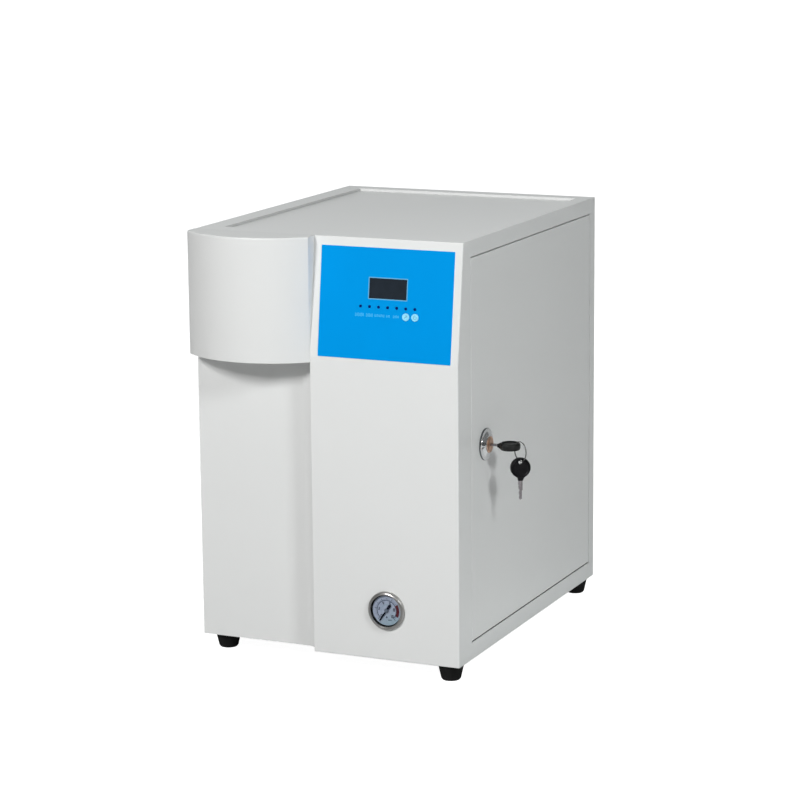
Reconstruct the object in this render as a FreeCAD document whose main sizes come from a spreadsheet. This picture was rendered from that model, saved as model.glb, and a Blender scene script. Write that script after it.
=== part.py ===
import FreeCAD, Part
import Sketcher
import math
import os
import re

# Bench-top ultrapure water system: a folded steel cabinet on four rubber feet,
# with a bowed dispensing hood, a leaning control panel, a flush pressure gauge
# and a lockable service door on the right-hand side.
#
# Cabinet coordinates: the front right lower corner of the cabinet is the zero
# point, X runs to the right, Y to the rear, Z up.  Every finished piece is
# shifted by off_x, off_y, off_z, which puts the origin of the whole system on
# the bench, under the middle of its outline.  All lengths are millimetres.

V = FreeCAD.Vector
Rotation = FreeCAD.Rotation

doc = FreeCAD.newDocument("ultrapure_water_system")
dims = doc.addObject("Spreadsheet::Sheet", "dims")

TABLE = [
    # shift from cabinet coordinates to the bench origin
    ("off_x", 150.3),
    ("off_y", -225.5),
    ("off_z", 20.0),
    # cabinet
    ("cab_width", 361.0),
    ("cab_depth", 471.0),
    ("cab_height", 520.0),
    ("skin", 1.2),
    ("col_width", 195.4),
    ("knee_height", 374.0),
    ("lean_angle", 7.183),
    ("recess", 20.0),
    ("cove", 20.0),
    ("edge_round", 2.0),
    ("rim_round", 1.0),
    ("base_sheet", 1.5),
    # dispensing hood
    ("hood_base", 366.0),
    ("hood_radius", 120.3764),
    ("hood_bulge", 33.0),
    ("hood_wall", 2.5),
    ("hood_round", 2.2),
    ("plate_raise", 1.5),
    ("plate_sheet", 2.0),
    ("nozzle_x", -278.2),
    ("nozzle_y", -2.0),
    # top
    ("lid_left", -333.0),
    ("lid_right", -19.0),
    ("lid_front", 46.0),
    ("lid_rear", 448.0),
    ("lid_drop", 3.3),
    ("ledge", 8.0),
    # feet
    ("foot_height", 20.0),
    ("foot_top", 16.2),
    ("foot_tip", 11.5),
    ("foot_right", -19.0),
    ("foot_left", -338.0),
    ("foot_front_right", 19.0),
    ("foot_front_left", 43.0),
    ("foot_rear", 452.0),
    # service door
    ("door_front", 42.0),
    ("door_rear", 452.0),
    ("door_low", 23.5),
    ("door_high", 498.5),
    ("door_deep", 14.0),
    ("door_gap", 1.5),
    ("pivot_x", -4.0),
    ("pivot_y", 442.0),
    ("pin_radius", 2.0),
    ("pin_collar", 2.7),
    ("jamb_deep", 17.7),
    ("lip", 8.0),
    ("lip_end", 420.0),
    # lock and keys
    ("lock_y", 85.3),
    ("lock_z", 262.5),
    ("rosette_radius", 20.0),
    ("barrel_radius", 9.5),
    ("plug_radius", 6.45),
    ("plug_face", 7.5),
    ("plug_rear", -18.2),
    ("cam_sheet", 2.0),
    ("cam_reach", 48.8),
    ("key_x", 32.8),
    ("key_round", 12.5),
    ("key_neck", 16.0),
    ("key_hole", 2.8),
    ("key_hole_at", 7.2),
    ("blade_long", 24.0),
    ("blade_wide", 5.2),
    ("blade_thick", 2.0),
    ("ring_radius", 12.0),
    ("ring_wire", 0.55),
    ("ring_turn", -34.0),
    ("ring_out", 9.97),
    ("ring_drop", 4.2),
    ("spare_turn", -57.0),
    ("spare_drop", 1.0),
    # pressure gauge
    ("gauge_x", -96.2),
    ("gauge_z", 63.3),
    ("bezel_radius", 24.2),
    ("case_radius", 21.5),
    # control panel on the leaning face
    ("film", 0.6),
    ("panel_left", -185.0),
    ("panel_right", -9.4),
    ("panel_low", 0.8),
    ("panel_high", 136.1),
    ("window_left", -119.65),
    ("window_right", -70.15),
    ("window_low", 74.9),
    ("window_high", 99.5),
    ("lamp_first", -130.3),
    ("lamp_pitch", 11.95),
    ("lamp_up", 64.7),
    ("lamp_radius", 1.8),
    ("button_one", -70.0),
    ("button_two", -58.0),
    ("button_up", 54.87),
    ("button_radius", 4.5),
    ("button_proud", 0.8),
    ("board_deep", 12.0),
    # rear
    ("entry_x", -70.0),
    ("entry_z", 90.0),
    ("fit_first", -335.0),
    ("fit_pitch", 35.0),
    ("fit_z", 60.0),
    ("tube_radius", 3.175),
    ("port_bore", 3.2),
    # inside
    ("wall_x", -150.0),
    ("wall_sheet", 1.6),
    ("wall_front", 75.0),
    ("wall_rear", 455.0),
    ("filter_off", 56.4),
    ("filter_first", 100.0),
    ("filter_pitch", 90.0),
    ("filter_z", 112.0),
    ("filter_radius", 32.0),
    ("pump_x", -235.0),
    ("pump_z", 62.0),
]
NAMES = set()
for row, (alias, value) in enumerate(TABLE, start=1):
    dims.set("A%d" % row, alias)
    dims.set("B%d" % row, str(value))
    dims.setAlias("B%d" % row, alias)
    NAMES.add(alias)
doc.recompute()

WORD = re.compile(r"[A-Za-z_][A-Za-z_0-9]*")
PARTS = []


def full(expr):
    """An expression with each cell name written as the sheet wants it."""
    return WORD.sub(lambda m: "dims." + m.group(0) if m.group(0) in NAMES else m.group(0), str(expr))


def num(expr):
    return float(dims.evalExpression(full(expr)))


def bind(obj, prop, expr):
    obj.setExpression(prop, full(expr))


def put(obj, x, y, z, rot=None):
    """Position in cabinet coordinates."""
    if rot is not None:
        obj.Placement = FreeCAD.Placement(V(num(x), num(y), num(z)), rot)
    for axis, expr in zip("xyz", (x, y, z)):
        bind(obj, "Placement.Base." + axis, expr)
    return obj


def publish(obj, label, x="0", y="0", z="0", rot=None):
    """Name a finished piece and shift it to the bench origin."""
    put(obj, "off_x + (%s)" % x, "off_y + (%s)" % y, "off_z + (%s)" % z, rot)
    obj.Label = label
    PARTS.append(obj)
    return obj


# Rotations that carry the local Z axis onto a named direction.
AXIS = {
    "Z": Rotation(),
    "X": Rotation(V(0, 1, 0), 90),
    "-X": Rotation(V(0, 1, 0), -90),
    "Y": Rotation(V(1, 0, 0), -90),
    "-Y": Rotation(V(1, 0, 0), 90),
}


def box(name, lx, ly, lz, x, y, z, rot=None):
    o = doc.addObject("Part::Box", name)
    bind(o, "Length", lx)
    bind(o, "Width", ly)
    bind(o, "Height", lz)
    return put(o, x, y, z, rot)


def cylinder(name, radius, length, x, y, z, axis="Z"):
    o = doc.addObject("Part::Cylinder", name)
    bind(o, "Radius", radius)
    bind(o, "Height", length)
    return put(o, x, y, z, AXIS[axis] if isinstance(axis, str) else axis)


def hexagon(name, flats, length, x, y, z, axis="Z"):
    o = doc.addObject("Part::Prism", name)
    o.Polygon = 6
    bind(o, "Circumradius", "(%s)/(2*cos(30))" % flats)
    bind(o, "Height", length)
    return put(o, x, y, z, AXIS[axis])


def fuse(name, *shapes):
    o = doc.addObject("Part::MultiFuse", name)
    o.Shapes = list(shapes)
    o.Refine = True
    return o


def cut(name, base, *tools):
    o = doc.addObject("Part::Cut", name)
    o.Base = base
    o.Tool = tools[0] if len(tools) == 1 else fuse(name + "_tools", *tools)
    o.Refine = True
    return o


def common(name, one, two):
    o = doc.addObject("Part::MultiCommon", name)
    o.Shapes = [one, two]
    return o


def group(name, *shapes):
    """Separate identical solids kept together."""
    o = doc.addObject("Part::Compound", name)
    o.Links = list(shapes)
    return o


def fillet(name, base, radius, pick):
    """Round the edges that pick chooses."""
    doc.recompute()
    r = num(radius)
    edges = [(i, r, r) for i, e in enumerate(base.Shape.Edges, start=1) if pick(e)]
    if not edges:
        raise RuntimeError("no edge to round on " + name)
    o = doc.addObject("Part::Fillet", name)
    o.Base = base
    o.Edges = edges
    return o


def centre(edge):
    return edge.CenterOfMass


def near(a, b, tol=0.05):
    return abs(a - b) < tol


def origin_plane(body, role):
    for feature in body.Origin.OriginFeatures:
        if feature.Role == role:
            return feature
    raise RuntimeError(role)


def draw(sketch, loop):
    """One closed loop, held by its dimensions.

    A loop is ("circle", u, v, r), or a list of corners (u, v), where a corner
    written (u, v, r, side) starts an arc of radius r to the next corner, and
    side is 1 when the arc turns left and -1 when it turns right.
    """
    if loop[0] == "circle":
        u, v, r = loop[1:]
        g = sketch.addGeometry(Part.Circle(V(num(u), num(v), 0), V(0, 0, 1), num(r)), False)
        for kind, pos, expr in (("DistanceX", 3, u), ("DistanceY", 3, v)):
            k = sketch.addConstraint(Sketcher.Constraint(kind, g, pos, num(expr)))
            sketch.setExpression("Constraints[%d]" % k, full(expr))
        k = sketch.addConstraint(Sketcher.Constraint("Radius", g, num(r)))
        sketch.setExpression("Constraints[%d]" % k, full(r))
        return
    points = [V(num(c[0]), num(c[1]), 0) for c in loop]
    segments = []
    for i, corner in enumerate(loop):
        a, b = points[i], points[(i + 1) % len(loop)]
        if len(corner) == 2:
            segments.append((sketch.addGeometry(Part.LineSegment(a, b), False), 1, 2))
            continue
        r, side = num(corner[2]), corner[3]
        half = (b - a).Length / 2
        left = V(-(b - a).y, (b - a).x, 0).normalize()
        mid = (a + b) * 0.5 + left * (side * math.sqrt(max(r * r - half * half, 0)))
        start, stop = (a, b) if side > 0 else (b, a)
        arc = Part.ArcOfCircle(
            Part.Circle(mid, V(0, 0, 1), r),
            math.atan2(start.y - mid.y, start.x - mid.x),
            math.atan2(stop.y - mid.y, stop.x - mid.x),
        )
        g = sketch.addGeometry(arc, False)
        segments.append((g, 1, 2) if side > 0 else (g, 2, 1))
    for i, (g, first, last) in enumerate(segments):
        after = segments[(i + 1) % len(segments)]
        sketch.addConstraint(Sketcher.Constraint("Coincident", g, last, after[0], after[1]))
    for corner, (g, first, last) in zip(loop, segments):
        for kind, expr in (("DistanceX", corner[0]), ("DistanceY", corner[1])):
            k = sketch.addConstraint(Sketcher.Constraint(kind, g, first, num(expr)))
            sketch.setExpression("Constraints[%d]" % k, full(expr))
        if len(corner) == 4:
            k = sketch.addConstraint(Sketcher.Constraint("Radius", g, num(corner[2])))
            sketch.setExpression("Constraints[%d]" % k, full(corner[2]))


def sketch_on(body, role, loops, name):
    sketch = body.newObject("Sketcher::SketchObject", name)
    sketch.AttachmentSupport = [(origin_plane(body, role), "")]
    sketch.MapMode = "FlatFace"
    for loop in loops:
        draw(sketch, loop)
    return sketch


def pad(name, role, loops, length, back=False, both=False):
    """A body padded from one sketch."""
    body = doc.addObject("PartDesign::Body", name + "_body")
    feature = body.newObject("PartDesign::Pad", name + "_pad")
    feature.Profile = sketch_on(body, role, loops, name + "_sketch")
    bind(feature, "Length", length)
    feature.Reversed = back
    if both:
        feature.SideType = "Symmetric"
    return body


def turned(name, outline):
    """A body turned about its local Z axis from an outline of (r, z) corners."""
    body = doc.addObject("PartDesign::Body", name + "_body")
    sketch = sketch_on(body, "XZ_Plane", [outline], name + "_sketch")
    feature = body.newObject("PartDesign::Revolution", name + "_turn")
    feature.Profile = sketch
    feature.ReferenceAxis = (sketch, ["V_Axis"])
    feature.Angle = 360
    return body


def rectangle(u0, v0, u1, v1):
    return [(u0, v0), (u1, v0), (u1, v1), (u0, v1)]


def rounded(u0, v0, u1, v1, r):
    """A rectangle with round corners."""
    a = lambda e, s: "(%s)%s(%s)" % (e, s, r)
    return [
        (a(u0, "+"), v0), (a(u1, "-"), v0, r, 1),
        (u1, a(v0, "+")), (u1, a(v1, "-"), r, 1),
        (a(u1, "-"), v1), (a(u0, "+"), v1, r, 1),
        (u0, a(v1, "-")), (u0, a(v0, "+"), r, 1),
    ]


def tube(name, points, radius, bend):
    """A round tube along straight runs joined by tangent arcs."""
    pts = [V(*p) for p in points]
    edges = []
    at = pts[0]
    for i in range(1, len(pts) - 1):
        d1 = (pts[i] - pts[i - 1]).normalize()
        d2 = (pts[i + 1] - pts[i]).normalize()
        turn = d1.getAngle(d2)
        reach = min((pts[i] - pts[i - 1]).Length, (pts[i + 1] - pts[i]).Length) * 0.45
        r = min(bend, reach / math.tan(turn / 2))
        s = r * math.tan(turn / 2)
        a, b = pts[i] - d1 * s, pts[i] + d2 * s
        mid = a + d1 * (r * math.sin(turn / 2)) + (d2 - d1 * math.cos(turn)).normalize() * (r * (1 - math.cos(turn / 2)))
        edges.append(Part.LineSegment(at, a).toShape())
        edges.append(Part.Arc(a, mid, b).toShape())
        at = b
    edges.append(Part.LineSegment(at, pts[-1]).toShape())
    path = Part.Wire(edges)
    ring = Part.Wire([Part.Circle(pts[0], (pts[1] - pts[0]), radius).toShape()])
    solid = path.makePipeShell([ring], True, True)
    want = math.pi * radius * radius * path.Length
    if abs(solid.Volume - want) > 0.01 * want:
        raise RuntimeError("tube volume of " + name)
    o = doc.addObject("Part::Feature", name)
    o.Shape = solid
    return o


# ---------------------------------------------------------------- shortcuts
TOP_Y = "(cab_height-knee_height)*tan(lean_angle)"
LEAN = Rotation(V(1, 0, 0), -num("lean_angle"))


def on_lean(x, deep, up):
    """Cabinet coordinates of a place on the leaning face: deep is inwards."""
    return (
        x,
        "(%s)*cos(lean_angle)+(%s)*sin(lean_angle)" % (deep, up),
        "knee_height+(%s)*cos(lean_angle)-(%s)*sin(lean_angle)" % (up, deep),
    )


def lean_box(name, x0, x1, n0, n1, u0, u1):
    return box(name, "(%s)-(%s)" % (x1, x0), "(%s)-(%s)" % (n1, n0), "(%s)-(%s)" % (u1, u0), *on_lean(x0, n0, u0), rot=LEAN)


def lean_rod(name, radius, x, up, n0, n1):
    """A round rod square to the leaning face, from depth n0 to n1."""
    o = doc.addObject("Part::Cylinder", name)
    bind(o, "Radius", radius)
    bind(o, "Height", "(%s)-(%s)" % (n1, n0))
    return put(o, *on_lean(x, n0, up), rot=LEAN.multiply(AXIS["Y"]))


# ================================================================ cabinet
# Right-hand shell: the front column with its leaning upper face, folded
# round into the right side, which is a frame about the door opening.
side_sheet = pad(
    "side_sheet", "YZ_Plane",
    [
        [("0", "0"), ("cab_depth", "0"), ("cab_depth", "cab_height"), (TOP_Y, "cab_height"), ("0", "knee_height")],
        rectangle("door_front-door_gap", "door_low-door_gap", "door_rear+door_gap", "door_high+door_gap"),
    ],
    "skin", back=True,
)
column_sheet = pad(
    "column_sheet", "YZ_Plane",
    [[
        ("0", "0"), ("skin", "0"), ("skin", "knee_height-skin*tan(lean_angle/2)"),
        (TOP_Y + "+skin/cos(lean_angle)", "cab_height"), (TOP_Y, "cab_height"), ("0", "knee_height"),
    ]],
    "col_width", back=True,
)
folded = fuse("folded", side_sheet, column_sheet)
panel_cuts = [
    lean_box("window_cut", "window_left-0.8", "window_right+0.8", "-3", "5", "window_low-0.8", "window_high+0.8"),
    lean_rod("button_cut_1", "button_radius+0.3", "button_one", "button_up", "-3", "5"),
    lean_rod("button_cut_2", "button_radius+0.3", "button_two", "button_up", "-3", "5"),
    cylinder("gauge_cut", "case_radius+0.5", "20", "gauge_x", "-10", "gauge_z", "Y"),
]
for i in range(7):
    panel_cuts.append(lean_rod("lamp_cut_%d" % i, "lamp_radius+0.15", "lamp_first+%d*lamp_pitch" % i, "lamp_up", "-3", "5"))
pierced = cut("pierced", folded, *panel_cuts)


def front_right_edge(e):
    c = centre(e)
    b = e.BoundBox
    tall = b.ZLength > 100
    on_side = near(b.XMin, 0) and near(b.XMax, 0)
    on_front = near(b.YMin, 0) and (near(b.YMax, 0) or near(b.YMax, num(TOP_Y)))
    return tall and on_side and on_front


rounded_shell = fillet("rounded_shell", pierced, "edge_round", front_right_edge)


def side_top_edge(e):
    b = e.BoundBox
    return near(b.XMin, 0) and near(b.XMax, 0) and near(b.ZMin, num("cab_height")) and near(b.ZMax, num("cab_height")) and b.YLength > 200


def panel_top_edge(e):
    b = e.BoundBox
    return b.XLength > 100 and near(b.ZMin, num("cab_height")) and near(b.ZMax, num("cab_height")) and near(b.YMin, num(TOP_Y)) and near(b.YMax, num(TOP_Y))


def shell_foot_edge(e):
    b = e.BoundBox
    low = near(b.ZMin, 0) and near(b.ZMax, 0)
    return low and ((near(b.YMin, 0) and near(b.YMax, 0) and b.XLength > 100) or (near(b.XMin, 0) and near(b.XMax, 0) and b.YLength > 200) or (near(b.YMin, 0) and near(b.XMax, 0) and near(b.XLength, num("edge_round"))))


right_shell = fillet("right_shell_top", rounded_shell, "rim_round", lambda e: side_top_edge(e) or panel_top_edge(e) or shell_foot_edge(e))
publish(right_shell, "right_shell")

# Recessed panel behind the bottle space, with the quarter-round cove that
# carries it forward to the column.
cove_end = "-(col_width+cove)+sqrt(cove^2-skin^2)"
cove_back = "-(col_width+cove)+sqrt((cove+skin)^2-skin^2)"
recess_low = pad(
    "recess_low", "XY_Plane",
    [[
        ("-cab_width", "recess"), ("-(col_width+cove)", "recess", "cove", -1), (cove_end, "skin"),
        (cove_back, "skin", "cove+skin", 1), ("-(col_width+cove)", "recess+skin"), ("-cab_width", "recess+skin"),
    ]],
    "hood_base",
)
recess_high = box("recess_high", "cab_width-col_width", "skin", "cab_height-skin-hood_base", "-cab_width", "recess", "hood_base")
recess_sheet = fuse("recess_sheet", recess_low, recess_high)
recess_panel = cut("recess_cut", recess_sheet, cylinder("hose_hole", "6", "10", "nozzle_x", "recess-4", "430", "Y"))
publish(recess_panel, "recess_panel")

# Left side, rear and base.
left_side = box("left_side", "skin", "cab_depth-recess-skin", "cab_height", "-cab_width", "recess+skin", "0")
left_side = fillet(
    "left_side_round", left_side, "rim_round",
    lambda e: near(e.BoundBox.XMax, -num("cab_width")) and near(e.BoundBox.ZMin, num("cab_height")),
)
publish(left_side, "left_side_panel")

rear_sheet = box("rear_sheet", "cab_width-2*skin", "skin", "cab_height-skin", "-cab_width+skin", "cab_depth-skin", "0")
rear_cuts = [box("entry_cut", "27.2", "10", "52.2", "entry_x-13.6", "cab_depth-5", "entry_z-26.1")]
for i in range(2):
    rear_cuts.append(cylinder("fit_cut_%d" % i, "7.05", "10", "fit_first+%d*fit_pitch" % i, "cab_depth-5", "fit_z", "Y"))
for col in range(2):
    for i in range(9):
        rear_cuts.append(box("vent_%d_%d" % (col, i), "90", "10", "4", "%d" % (-290 + 110 * col), "cab_depth-5", "%d" % (360 + 13 * i)))
SCREW_SPOTS = [(-345, 30), (-180, 14), (-16, 14), (-345, 260), (-16, 260), (-345, 500), (-180, 500), (-16, 500)]
for i, (sx, sz) in enumerate(SCREW_SPOTS):
    rear_cuts.append(cylinder("rear_hole_%d" % i, "1.6", "10", str(sx), "cab_depth-5", str(sz), "Y"))
publish(cut("rear_cut", rear_sheet, *rear_cuts), "rear_panel")

screws = []
for i, (sx, sz) in enumerate(SCREW_SPOTS):
    screws.append(fuse(
        "rear_screw_%d" % i,
        cylinder("rear_shank_%d" % i, "1.5", "9", str(sx), "cab_depth-8", str(sz), "Y"),
        cylinder("rear_head_%d" % i, "3", "1.8", str(sx), "cab_depth", str(sz), "Y"),
    ))
publish(group("rear_screw_group", *screws), "rear_panel_screws")

base = pad(
    "base", "XY_Plane",
    [
        [
            ("-cab_width+skin", "recess+skin"), ("-194", "recess+skin"), ("-194", "skin"), ("-skin", "skin"),
            ("-skin", "cab_depth-skin"), ("-cab_width+skin", "cab_depth-skin"),
        ],
        ("circle", "foot_right", "foot_front_right", "2.6"),
        ("circle", "foot_right", "foot_rear", "2.6"),
        ("circle", "foot_left", "foot_front_left", "2.6"),
        ("circle", "foot_left", "foot_rear", "2.6"),
    ],
    "base_sheet",
)
publish(base, "base_pan")

# Top: a border frame with a dropped ledge, and the panel that lies on it.
rim_plate = pad(
    "rim_plate", "XY_Plane",
    [
        [
            ("-cab_width+skin", "recess"), ("-col_width", "recess"),
            ("-col_width", TOP_Y + "+skin/cos(lean_angle)"), ("-skin", TOP_Y + "+skin/cos(lean_angle)"),
            ("-skin", "cab_depth"), ("-cab_width+skin", "cab_depth"),
        ],
        rectangle("lid_left", "lid_front", "lid_right", "lid_rear"),
    ],
    "skin",
)
put(rim_plate, "0", "0", "cab_height-skin")
rim_wall = box("rim_wall", "lid_right-lid_left+2*skin", "lid_rear-lid_front+2*skin", "lid_drop+skin", "lid_left-skin", "lid_front-skin", "cab_height-skin-lid_drop-skin")
rim_inner = box("rim_inner", "lid_right-lid_left", "lid_rear-lid_front", "20", "lid_left", "lid_front", "cab_height-lid_drop-skin")
rim_open = box("rim_open", "lid_right-lid_left-2*ledge", "lid_rear-lid_front-2*ledge", "30", "lid_left+ledge", "lid_front+ledge", "cab_height-15")
rim_lip = cut("rim_lip", rim_wall, rim_inner, rim_open)
rim_frame = fuse("rim_fused", rim_plate, rim_lip)
rim_frame = fillet(
    "rim_soft", rim_frame, "rim_round",
    lambda e: e.BoundBox.XLength > 300 and near(e.BoundBox.YMin, num("cab_depth")) and near(e.BoundBox.ZMin, num("cab_height")),
)
publish(rim_frame, "top_rim")
publish(
    box("lid_sheet", "lid_right-lid_left-0.6", "lid_rear-lid_front-0.6", "skin", "0", "0", "0"),
    "top_panel", "lid_left+0.3", "lid_front+0.3", "cab_height-lid_drop-skin",
)

# ================================================================ hood
span = "(cab_width-col_width)"
inner_y = "(hood_radius-hood_bulge)-sqrt((hood_radius-hood_wall)^2-(%s/2-hood_wall)^2)" % span
hood_outer = pad(
    "hood_outer", "XY_Plane",
    [[("-cab_width", "0", "hood_radius", 1), ("-col_width", "0"), ("-col_width", "recess"), ("-cab_width", "recess")]],
    "cab_height-hood_base",
)
put(hood_outer, "0", "0", "hood_base")


def hood_plan(gap):
    return [
        ("-cab_width+hood_wall+%s" % gap, inner_y, "hood_radius-hood_wall", 1),
        ("-col_width-hood_wall-%s" % gap, inner_y),
        ("-col_width-hood_wall-%s" % gap, "recess"),
        ("-cab_width+hood_wall+%s" % gap, "recess"),
    ]


hood_inner = pad("hood_inner", "XY_Plane", [hood_plan("0")], "cab_height-hood_base-hood_wall+10")
put(hood_inner, "0", "0", "hood_base-10")
hood_shell = cut("hood_shell", hood_outer, hood_inner)


def hood_top_edge(e):
    b = e.BoundBox
    return near(b.ZMin, num("cab_height")) and near(b.YMin, -num("hood_bulge"), 0.2)


def hood_corner(e):
    b = e.BoundBox
    return b.ZLength > 100 and near(b.YMax, 0) and (near(b.XMin, -num("cab_width")) or near(b.XMax, -num("col_width")))


hood_soft = fillet("hood_soft", hood_shell, "hood_round", lambda e: hood_top_edge(e) or hood_corner(e))
publish(hood_soft, "dispense_hood")

hood_plate = pad("hood_plate", "XY_Plane", [hood_plan("0"), ("circle", "nozzle_x", "nozzle_y", "6.1")], "plate_sheet")
publish(hood_plate, "hood_bottom_plate", "0", "0", "hood_base+plate_raise")

nozzle = turned("nozzle", [
    ("2.5", "-4.5"), ("4.6", "-4.5"), ("5.5", "-3.6"), ("5.5", "-0.5"), ("10", "-0.5"), ("10", "plate_raise"), ("6", "plate_raise"),
    ("6", "plate_raise+plate_sheet"), ("9.5", "plate_raise+plate_sheet"), ("9.5", "8.5"), ("6", "8.5"), ("6", "15"), ("4.2", "16"), ("4.2", "26"), ("2.5", "26"),
])
publish(nozzle, "dispense_nozzle", "nozzle_x", "nozzle_y", "hood_base")

# ================================================================ feet
spots = [
    ("foot_right", "foot_front_right"), ("foot_left", "foot_front_left"),
    ("foot_right", "foot_rear"), ("foot_left", "foot_rear"),
]
feet, foot_screws = [], []
for i, (fx, fy) in enumerate(spots):
    foot = turned("foot_%d" % i, [
        ("2.6", "0"), ("foot_top", "0"), ("foot_top", "-1.2"), ("foot_tip+0.8", "-foot_height+2"), ("foot_tip-0.8", "-foot_height"),
        ("6", "-foot_height"), ("6", "-9"), ("2.6", "-9"),
    ])
    feet.append(put(foot, fx, fy, "0"))
    foot_screws.append(fuse(
        "foot_screw_%d" % i,
        cylinder("foot_head_%d" % i, "4.6", "3", fx, fy, "-12"),
        cylinder("foot_shank_%d" % i, "2.5", "18", fx, fy, "-10"),
        hexagon("foot_nut_%d" % i, "8", "4", fx, fy, "base_sheet"),
    ))
publish(group("foot_group", *feet), "rubber_feet")
publish(group("foot_screw_group", *foot_screws), "foot_screws")

# ================================================================ service door
jamb_block = box(
    "jamb_block", "jamb_deep-skin", "door_rear-door_front+2*door_gap+2*skin", "door_high-door_low+2*door_gap+2*skin",
    "-jamb_deep", "door_front-door_gap-skin", "door_low-door_gap-skin",
)
jamb_open = box(
    "jamb_open", "jamb_deep", "door_rear-door_front+2*door_gap", "door_high-door_low+2*door_gap",
    "-jamb_deep+skin", "door_front-door_gap", "door_low-door_gap",
)
jamb_through = box(
    "jamb_through", "40", "door_rear-door_front+2*door_gap-lip", "door_high-door_low+2*door_gap-2*lip",
    "-30", "door_front-door_gap+lip", "door_low-door_gap+lip",
)
# The stop lips end short of the hinge side, where the door's rear edge
# swings inwards.
jamb_rear = box(
    "jamb_rear", "40", "door_rear+door_gap-lip_end", "door_high-door_low+2*door_gap",
    "-30", "lip_end", "door_low-door_gap",
)
jamb = cut(
    "jamb", jamb_block, jamb_open, jamb_through, jamb_rear,
    cylinder("jamb_hole_low", "pin_radius+0.02", "6", "pivot_x", "pivot_y", "door_low-door_gap-skin-2"),
    cylinder("jamb_hole_high", "pin_radius+0.02", "6", "pivot_x", "pivot_y", "door_high+door_gap-2"),
)
publish(jamb, "door_jamb")

# Pivot pins: a head outside the flange, a thrust collar between flange and door.
pin_low = turned("pin_low", [("0", "-2"), ("pin_collar", "-2"), ("pin_collar", "0"), ("pin_radius", "0"), ("pin_radius", "skin"), ("pin_collar", "skin"), ("pin_collar", "skin+0.7"), ("pin_radius", "skin+0.7"), ("pin_radius", "6"), ("1.4", "6.6"), ("0", "6.6")])
put(pin_low, "pivot_x", "pivot_y", "door_low-door_gap-skin")
pin_high = turned("pin_high", [("0", "2"), ("pin_collar", "2"), ("pin_collar", "0"), ("pin_radius", "0"), ("pin_radius", "-skin"), ("pin_collar", "-skin"), ("pin_collar", "-skin-0.7"), ("pin_radius", "-skin-0.7"), ("pin_radius", "-6"), ("1.4", "-6.6"), ("0", "-6.6")])
put(pin_high, "pivot_x", "pivot_y", "door_high+door_gap+skin")
publish(group("pin_group", pin_low, pin_high), "hinge_pins")

bumpers = [
    cylinder("bumper_%d" % i, "3.5", "2.2", "-jamb_deep+skin", by, bz, "X")
    for i, (by, bz) in enumerate([("door_front+3", "70"), ("door_front+3", "450"), ("300", "door_low+3"), ("300", "door_high-3")])
]
publish(group("bumper_group", *bumpers), "door_bumpers")

door_block = box("door_block", "door_deep", "door_rear-door_front", "door_high-door_low", "-door_deep", "door_front", "door_low")
door_hollow = box("door_hollow", "door_deep", "door_rear-door_front-2*skin", "door_high-door_low-2*skin", "-door_deep-skin", "door_front+skin", "door_low+skin")
door_pan = cut(
    "door_pan", door_block, door_hollow,
    cylinder("door_hole", "pin_radius+0.06", "600", "pivot_x", "pivot_y", "0"),
    cylinder("lock_hole", "barrel_radius+0.1", "20", "-10", "lock_y", "lock_z", "X"),
)


def door_outer_edge(e):
    b = e.BoundBox
    return near(b.XMin, 0) and near(b.XMax, 0) and max(b.YLength, b.ZLength) > 100


publish(fillet("door_soft", door_pan, "rim_round", door_outer_edge), "side_door")

# ---------------------------------------------------------------- lock
rosette = turned("rosette", [
    ("barrel_radius+0.05", "0"), ("rosette_radius", "0"), ("rosette_radius", "1.4"), ("rosette_radius-0.3", "1.9"), ("rosette_radius-0.9", "2.1"),
    ("rosette_radius-4.2", "2.2"), ("barrel_radius+1.3", "4.6"), ("barrel_radius+1.0", "5.8"), ("barrel_radius+0.75", "5.8"), ("barrel_radius+0.75", "4.6"), ("barrel_radius+0.05", "4.6"),
])
publish(rosette, "lock_rosette", "0", "lock_y", "lock_z", AXIS["X"])
housing = turned("housing", [
    ("plug_radius+0.1", "-15.5"), ("barrel_radius", "-15.5"), ("barrel_radius", "4.6"), ("barrel_radius+0.65", "4.6"), ("barrel_radius+0.65", "6.4"),
    ("barrel_radius+0.2", "6.8"), ("plug_radius+0.1", "6.8"),
])
publish(housing, "lock_housing", "0", "lock_y", "lock_z", AXIS["X"])
nut = cut(
    "nut_cut",
    hexagon("nut_block", "24", "4.2", "-skin-4.2", "lock_y", "lock_z", "X"),
    cylinder("nut_bore", "barrel_radius+0.05", "20", "-10", "lock_y", "lock_z", "X"),
)
publish(nut, "lock_nut")

plug_round = turned("plug_round", [
    ("0", "plug_rear"), ("8.2", "plug_rear"), ("8.2", "-15.8"), ("plug_radius", "-15.8"), ("plug_radius", "7"), ("plug_radius+0.8", "7"), ("plug_radius+0.8", "plug_face-0.2"), ("plug_radius+0.5", "plug_face"), ("0", "plug_face"),
])
put(plug_round, "0", "lock_y", "lock_z", AXIS["X"])
plug_tang = box("plug_tang", "cam_sheet", "6", "6", "plug_rear-cam_sheet", "lock_y-3", "lock_z-3")
plug_slot = box("plug_slot", "plug_face+17.2+5", "blade_wide+0.6", "blade_thick+0.6", "-17.2", "lock_y-blade_wide/2-0.3", "lock_z-blade_thick/2-0.3")
plug_tap = cylinder("plug_tap", "1.6", "1.9", "plug_rear-cam_sheet", "lock_y", "lock_z", "X")
publish(cut("plug_cut", fuse("plug_fused", plug_round, plug_tang), plug_slot, plug_tap), "lock_plug")

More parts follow.
